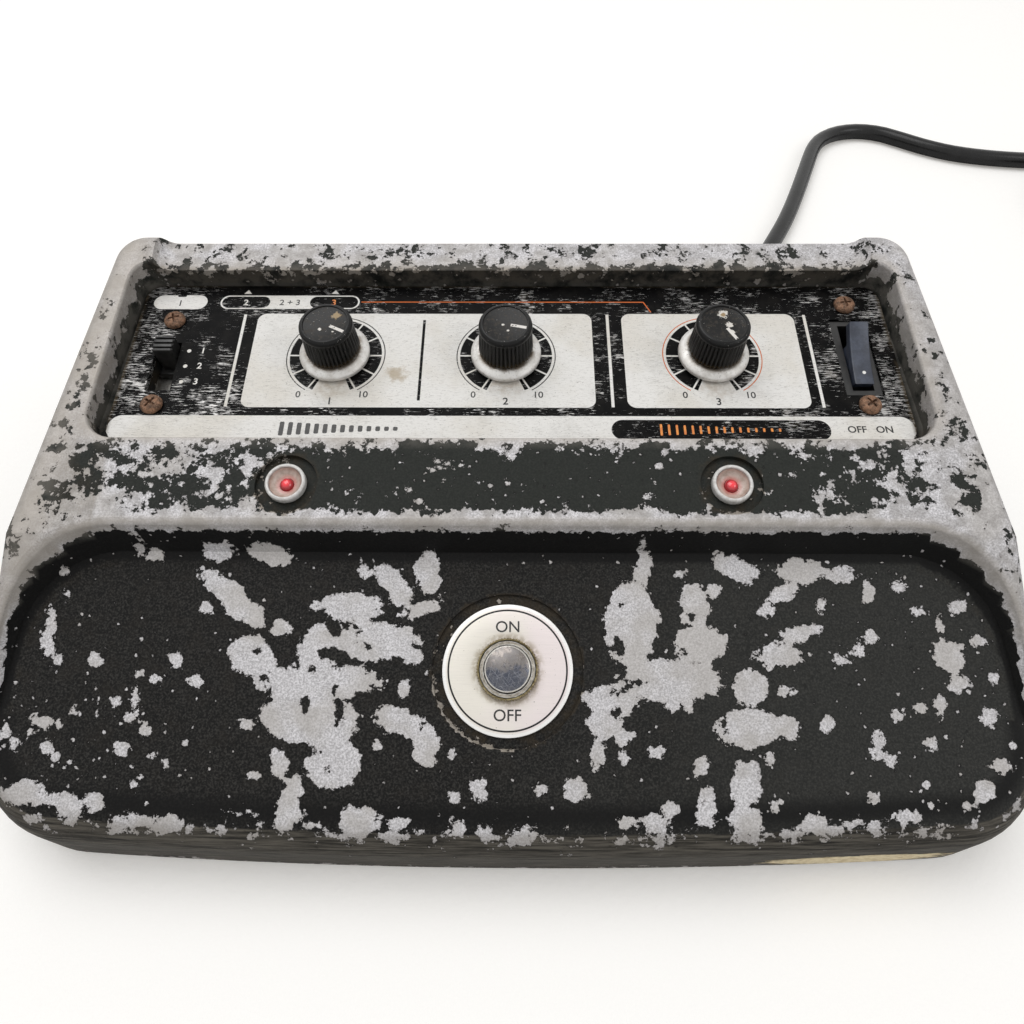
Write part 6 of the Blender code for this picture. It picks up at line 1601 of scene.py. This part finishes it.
def build_sockets(_sizes):
    """Jack sockets in the back wall with their nuts."""
    black = plain_finish("socket_black", (0.008, 0.008, 0.008), (0.024, 0.023, 0.022), 0.42, size=1.5)
    steel = plain_finish("nut_steel", (0.30, 0.285, 0.26), (0.56, 0.55, 0.53), 0.30, 0.95, 1.5, 0.04)
    for name, x in SOCKETS:
        at = at_back(x, SOCKET_Z)
        face = -CASE_WALL - GAP
        body = lump(f"socket_{name}", soft_box((15.0 * MM, 14.0 * MM, 28.0 * MM), 0.8 * MM,
                                               Matrix.Translation((0.0, 0.0, face - 14.0 * MM))), at)
        bush = [(4.7, face / MM - 14.0), (4.7, 3.0), (4.4, 3.5), (3.9, 3.5)]
        steps = [("UNION", lump("bush", turned(sized(bush), 64), at)),
                 ("DIFFERENCE", hole(3.3 * MM, (3.5 - 30.0) * MM, 10.0 * MM, at, 64))]
        settle(dress(carve(body, steps), black), "case", [f"jack_{name}"])
        piece(f"socket_nut_{name}", hex_nut(), at, steel, "case", [f"jack_nut_{name}"])


def hex_nut():
    """A thin nut with rounded corners and a turned chamfer."""
    count = 96
    rows = []
    for height, shrink in ((0.3, 0.25), (0.5, 0.0), (1.9, 0.0), (2.2, 0.3)):
        ring = []
        for index in range(count):
            angle = 2 * math.pi * index / count
            flat = 6.1 / math.cos((angle + math.pi / 6) % (math.pi / 3) - math.pi / 6)
            reach = (min(flat, 7.0) - shrink) * MM
            ring.append((reach * math.cos(angle), reach * math.sin(angle), height * MM))
        rows.append(ring)
    for height in (2.2, 0.3):
        rows.append(circle(5.0 * MM, height * MM, count))
    return rings(rows, True)


def smooth_route(points, step):
    """Even points along one smooth curve through a route's own points."""
    path = [np.array(point) for point in points]
    ends = [2 * path[0] - path[1]] + path + [2 * path[-1] - path[-2]]
    fine = []
    for before, start, end, after in zip(ends, ends[1:], ends[2:], ends[3:]):
        for share in np.linspace(0.0, 1.0, 24, endpoint=False):
            square, cube = share ** 2, share ** 3
            fine.append(0.5 * (2 * start + (end - before) * share
                               + (2 * before - 5 * start + 4 * end - after) * square
                               + (3 * start - before - 3 * end + after) * cube))
    fine.append(path[-1])
    fine = np.array(fine)
    travelled = np.concatenate(([0.0], np.cumsum(np.linalg.norm(np.diff(fine, axis=0), axis=1))))
    count = max(2, round(travelled[-1] / step))
    marks = np.linspace(0.0, travelled[-1], count + 1)
    return np.column_stack([np.interp(marks, travelled, fine[:, axis]) for axis in range(3)])


def coil_points(start):
    """The coil: in along the floor, up a layer while it reverses, and out again on top."""
    pitch = CORD_DIAMETER + COIL_GAP
    outer = (COIL_CORDS_ACROSS * CORD_DIAMETER + pitch * COIL_TURNS_IN) / 2
    centre = Vector((start[0] + CORD_DIAMETER, start[1] - outer))
    total = COIL_TURNS_IN + COIL_TURNS_CLIMBING + COIL_TURNS_OUT
    points = []
    for index in range(round(total * COIL_POINTS_PER_TURN) + 1):
        turn = index / COIL_POINTS_PER_TURN
        climb = min(max((turn - COIL_TURNS_IN) / COIL_TURNS_CLIMBING, 0.0), 1.0)
        drawn_in = min(turn, COIL_TURNS_IN) - max(turn - COIL_TURNS_IN - COIL_TURNS_CLIMBING, 0.0)
        drawn_in += COIL_TURNS_CLIMBING * climb * (1 - climb)
        radius = outer - pitch * drawn_in
        angle = math.pi / 2 - 2 * math.pi * turn
        height = start[2] + pitch * climb * climb * (3 - 2 * climb)
        points.append((centre.x + radius * math.cos(angle), centre.y + radius * math.sin(angle), height))
    return points


def length_of(points):
    """Length along a row of points."""
    return float(np.linalg.norm(np.diff(np.array(points), axis=0), axis=1).sum())


def cord_points():
    """The whole cord, from the strain relief into the plug's neck."""
    points = [tuple(point) for point in smooth_route(CORD_ROUTE, CORD_STEP)]
    points += coil_points((points[-1][0] + GAP, points[-1][1], points[-1][2]))
    start = points[-1]
    length = CORD_LENGTH - length_of(points)
    count = 12
    for index in range(1, count + 1):
        share = index / count
        eased = min(share * length / (length - CORD_DIAMETER), 1.0)
        eased = eased * eased * (3 - 2 * eased)
        points.append((start[0], start[1] - length * share, start[2] + (PLUG_HEIGHT / 2 - start[2]) * eased))
    return points


def build_cord(_sizes):
    """The mains cord, its strain relief and its two-pin plug."""
    points = cord_points()
    curve = bpy.data.curves.new("mains_cord", "CURVE")
    curve.dimensions = "3D"
    curve.resolution_u = 1
    curve.bevel_depth = CORD_RADIUS
    curve.bevel_resolution = 6
    curve.use_fill_caps = True
    line = curve.splines.new("POLY")
    line.points.add(len(points) - 1)
    for slot, point in zip(line.points, points):
        slot.co = (*point, 1.0)
    line.use_smooth = True
    cord = bpy.data.objects.new("mains_cord", curve)
    bpy.context.scene.collection.objects.link(cord)
    jacket = plain_finish("cord_jacket_black", (0.006, 0.006, 0.006), (0.012, 0.012, 0.012), 0.26,
                          size=9.0, depth=0.02, specular=0.3)
    curve.materials.append(jacket)
    settle(cord, "case", ["cord", "cord_coil"])
    plug = build_plug(points[-1])
    gland = piece("cord_strain_relief", gland_shape(), at_back(GLAND_X, GLAND_Z),
                  plain_finish("relief_rubber", (0.010, 0.010, 0.010), (0.022, 0.021, 0.020), 0.6, size=3.0),
                  "case", ["cord_gland"])


def gland_shape():
    """A strain relief: neck through the wall, flange, and a tapered sleeve cut by ribs."""
    profile = [(5.5, -9.0), (5.5, 0.3), (7.2, 0.3), (7.5, 0.6), (7.5, 2.0), (7.2, 2.3), (5.5, 2.3)]
    ribs = 7
    for index in range(ribs):
        start = 3.2 + index * 2.8
        radius = 5.5 - 0.9 * (start - 2.3) / 21.7
        profile += [(radius, start), (radius - 0.75, start + 0.25), (radius - 0.8, start + 0.95),
                    (radius - 0.1, start + 1.2)]
    profile += [(4.65, 23.6), (4.4, 24.0)]
    return turned(sized(profile), 64)


def build_plug(tip):
    """A moulded two-pin plug on the cord's end, pointing to the front."""
    at = Matrix.Translation((tip[0], tip[1] - GAP, PLUG_HEIGHT / 2)) @ Matrix.Rotation(math.pi / 2, 4, "X")
    sections = []
    for width, height, along in ((10.6, 10.6, 0.0), (11.0, 11.0, 0.5), (12.5, 11.6, 8.0),
                                 (15.5, 12.8, 14.0), (21.0, 15.0, 17.5), (24.4, 15.9, 21.0),
                                 (25.0, 16.0, 26.0), (25.0, 16.0, 43.0), (24.4, 15.4, 46.6),
                                 (23.0, 14.1, 48.0)):
        across, up = width / 2 * MM, height / 2 * MM
        corners = [(-across, -up), (across, -up), (across, up), (-across, up)]
        outline = rounded(corners, [min(across, up) * 0.62] * 4, 10)
        sections.append([(x, y, along * MM) for x, y in outline])
    plastic = plain_finish("plug_black", (0.008, 0.008, 0.008), (0.018, 0.018, 0.018), 0.42,
                           size=3.0, depth=0.05)
    plug = piece("mains_plug", rings(sections), at, plastic, "case", ["plug"])
    blades = bmesh.new()
    for side in (-1, 1):
        part = soft_box((1.5 * MM, 6.3 * MM, 22.0 * MM), 0.3 * MM,
                        Matrix.Translation((side * 6.35 * MM, 0.0, 54.0 * MM)))
        mesh = bpy.data.meshes.new("blade")
        part.to_mesh(mesh)
        part.free()
        blades.from_mesh(mesh)
        bpy.data.meshes.remove(mesh)
    brass = plain_finish("blade_metal", (0.42, 0.36, 0.24), (0.62, 0.56, 0.42), 0.28, 1.0, 2.0, 0.02)
    pins = piece("plug_blades", blades, at, brass, "case", ())
    pins.parent = plug
    return plug


def build_underside(_sizes):
    """Rubber feet with a soft edge; the bottom plate and the inside keep their solids."""
    rubber = plain_finish("foot_rubber", (0.010, 0.010, 0.010), (0.030, 0.029, 0.027), 0.72,
                          size=2.0, depth=0.08)
    sole = [(4.6, 0.0), (9.4, 0.0), (10.0, 3.7), (2.3, 3.7), (2.3, 2.2), (4.6, 2.2)]
    for name, x, y in foot_places():
        profile = softened(sized(sole), 0.4 * MM)
        piece(f"foot_soft_{name}", turned(profile, 64, True), Matrix.Translation((x, y, 0.0)), rubber,
              "case", [f"foot_{name}"])


def dress_solids(_sizes):
    """Give every solid that still shows its own finish."""
    sheet = plain_finish("sheet_steel_paint", (0.012, 0.012, 0.012), (0.040, 0.038, 0.035), 0.5,
                         size=6.0, depth=0.1)
    steel = plain_finish("plated_parts", (0.28, 0.265, 0.24), (0.52, 0.51, 0.49), 0.33, 0.95, 1.5, 0.04)
    black = plain_finish("moulded_black", (0.006, 0.006, 0.006), (0.016, 0.015, 0.014), 0.42, size=2.0)
    board = plain_finish("bare_board", (0.18, 0.11, 0.035), (0.27, 0.175, 0.07), 0.5, size=8.0)
    iron = plain_finish("lacquered_iron", (0.09, 0.09, 0.095), (0.20, 0.195, 0.19), 0.45, 0.8, 4.0, 0.1)
    special = {"control_panel": panel_finish(), "bottom_plate": sheet, "main_board": board,
               "power_transformer": iron, "delay_chip": black, "power_switch_body": black}
    for name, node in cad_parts.items():
        if node.hide_render:
            continue
        finish = special.get(name, steel)
        node.data.materials.clear()
        node.data.materials.append(finish)


def build_stage(sizes):
    """Plain pale floor, soft light from above and the camera."""
    scene = bpy.context.scene
    scene.view_settings.view_transform = "Standard"
    floor = bmesh.new()
    bmesh.ops.create_grid(floor, x_segments=1, y_segments=1, size=3.0)
    ground = lump("floor", floor)
    ground.data.materials.append(floor_finish())
    camera = bpy.data.objects.new("camera", bpy.data.cameras.new("camera"))
    scene.collection.objects.link(camera)
    camera.data.lens = sizes.lens
    camera.data.sensor_width = SENSOR_WIDTH
    camera.data.clip_start = 0.01
    camera.location = sizes.camera_place
    camera.rotation_euler = camera_turn(sizes.camera_swing, sizes.camera_pitch, sizes.camera_roll).to_euler()
    scene.camera = camera
    for name, place, size, power in (("light_above", (-0.25, 0.35, 1.1), 0.9, sizes.light_power),
                                     ("light_side", (0.9, -0.2, 0.9), 0.5, sizes.light_power * 0.25)):
        lamp = bpy.data.lights.new(name, "AREA")
        lamp.size = size
        lamp.energy = power
        light = bpy.data.objects.new(name, lamp)
        scene.collection.objects.link(light)
        light.location = place
        light.rotation_euler = (-Vector(place)).to_track_quat("-Z", "Y").to_euler()
    world = bpy.data.worlds.new("pale_room")
    scene.world = world
    world.use_nodes = True
    nodes, links = world.node_tree.nodes, world.node_tree.links
    nodes.clear()
    path = nodes.new("ShaderNodeLightPath")
    seen = nodes.new("ShaderNodeMath")
    seen.operation = "MAXIMUM"
    links.new(path.outputs["Is Camera Ray"], seen.inputs[0])
    links.new(path.outputs["Is Glossy Ray"], seen.inputs[1])
    through = nodes.new("ShaderNodeMath")
    through.operation = "MAXIMUM"
    links.new(seen.outputs[0], through.inputs[0])
    links.new(path.outputs["Is Transmission Ray"], through.inputs[1])
    room, backdrop = nodes.new("ShaderNodeBackground"), nodes.new("ShaderNodeBackground")
    room.inputs["Strength"].default_value = sizes.room_light
    backdrop.inputs["Color"].default_value = (1.0, 0.995, 0.985, 1.0)
    blend = nodes.new("ShaderNodeMixShader")
    links.new(through.outputs[0], blend.inputs[0])
    links.new(room.outputs[0], blend.inputs[1])
    links.new(backdrop.outputs[0], blend.inputs[2])
    links.new(blend.outputs[0], nodes.new("ShaderNodeOutputWorld").inputs[0])


def floor_finish():
    """A pale, faintly pebbled table top that reads almost white to the camera."""
    finish = Finish("pale_table")
    at = finish.place()
    pebble = finish.noise(at, 2.5, 4.0, 0.6)
    path = finish.node("ShaderNodeLightPath")
    outputs = path.socket.node.outputs
    seen = Value(finish, outputs["Is Camera Ray"])
    glow = finish.mix(seen, (0.0, 0.0, 0.0), (0.262, 0.252, 0.236))
    finish.feed(finish.shader.inputs["Emission Color"], glow)
    finish.shader.inputs["Emission Strength"].default_value = 1.0
    return finish.done((0.80, 0.795, 0.785), 0.7, 0.0, finish.bump(pebble, 0.25), specular=0.2)


class PedalSizes(bpy.types.PropertyGroup):
    """Sizes of the pedal's parts."""

    flute_count: bpy.props.IntProperty(
        name="Flutes", description="Flutes round each dial cap", default=40, min=12)


class StageSizes(bpy.types.PropertyGroup):
    """Camera and light."""

    lens: bpy.props.FloatProperty(
        name="Lens", description="Focal length", default=PHOTO_FOCAL / PHOTO_SIZE * SENSOR_WIDTH,
        unit="CAMERA")
    camera_place: bpy.props.FloatVectorProperty(
        name="Camera place", description="Where the camera stands", default=CAMERA_PLACE,
        subtype="TRANSLATION")
    camera_pitch: bpy.props.FloatProperty(
        name="Pitch", description="Tilt of the camera from straight down on the panel", default=CAMERA_PITCH,
        subtype="ANGLE")
    camera_swing: bpy.props.FloatProperty(
        name="Swing", description="Turn of the camera round the panel's own upright", default=CAMERA_SWING,
        subtype="ANGLE")
    camera_roll: bpy.props.FloatProperty(
        name="Roll", description="Turn of the camera round its own line of sight", default=CAMERA_ROLL,
        subtype="ANGLE")
    light_power: bpy.props.FloatProperty(
        name="Light", description="Power of the soft light above", default=7.4, unit="POWER")
    room_light: bpy.props.FloatProperty(
        name="Room light", description="Strength of the light from all sides", default=0.6)


def operator(name, label, doc, build, group="pedal_sizes"):
    """An operator that builds one group of pieces."""
    def execute(self, context):
        build(getattr(context.scene, group))
        return {"FINISHED"}
    return type(f"PEDAL_OT_{name}", (bpy.types.Operator,), {
        "bl_idname": f"pedal.{name}", "bl_label": label, "__doc__": doc, "execute": execute})


OPERATORS = (
    operator("stage", "Stage", "Set up the floor, the light and the camera", build_stage, "stage_sizes"),
    operator("cord", "Cord", "Lay the mains cord, its strain relief and its plug", build_cord),
    operator("case", "Case", "Carve the worn casting", lambda _sizes: build_case()),
    operator("label", "Label", "Stick on what is left of a torn label", lambda _sizes: label_piece()),
    operator("dials", "Dials", "Fit the three dial caps and skirts", build_dials),
    operator("screws", "Screws", "Drive in the rusty screws", build_screws),
    operator("switches", "Switches", "Fit the level slider and the power paddle", build_switches),
    operator("lamps", "Lamps", "Fit the two indicator lamps", build_lamps),
    operator("footswitch", "Footswitch", "Fit the footswitch's plate, nut and plunger", build_footswitch),
    operator("sockets", "Sockets", "Fit the sockets and nuts in the back wall", build_sockets),
    operator("underside", "Underside", "Fit the feet", build_underside),
    operator("prints", "Prints", "Print the numbers and bars", build_prints),
    operator("solids", "Solids", "Dress the solids that still show", dress_solids),
)


class PEDAL_PT_build(bpy.types.Panel):
    """Lists the pedal's operators."""

    bl_idname = "PEDAL_PT_build"
    bl_label = "Worn delay pedal"
    bl_space_type = "VIEW_3D"
    bl_region_type = "UI"
    bl_category = "Pedal"

    def draw(self, _context):
        for made in OPERATORS:
            self.layout.operator(made.bl_idname)


CLASSES = (PedalSizes, StageSizes, *OPERATORS, PEDAL_PT_build)


def register():
    for made in CLASSES:
        bpy.utils.register_class(made)
    bpy.types.Scene.pedal_sizes = bpy.props.PointerProperty(type=PedalSizes)
    bpy.types.Scene.stage_sizes = bpy.props.PointerProperty(type=StageSizes)


def unregister():
    del bpy.types.Scene.stage_sizes
    del bpy.types.Scene.pedal_sizes
    for made in reversed(CLASSES):
        bpy.utils.unregister_class(made)


def main():
    register()
    for made in OPERATORS:
        getattr(bpy.ops.pedal, made.bl_idname.split(".")[1])()


if __name__ == "__main__":
    main()
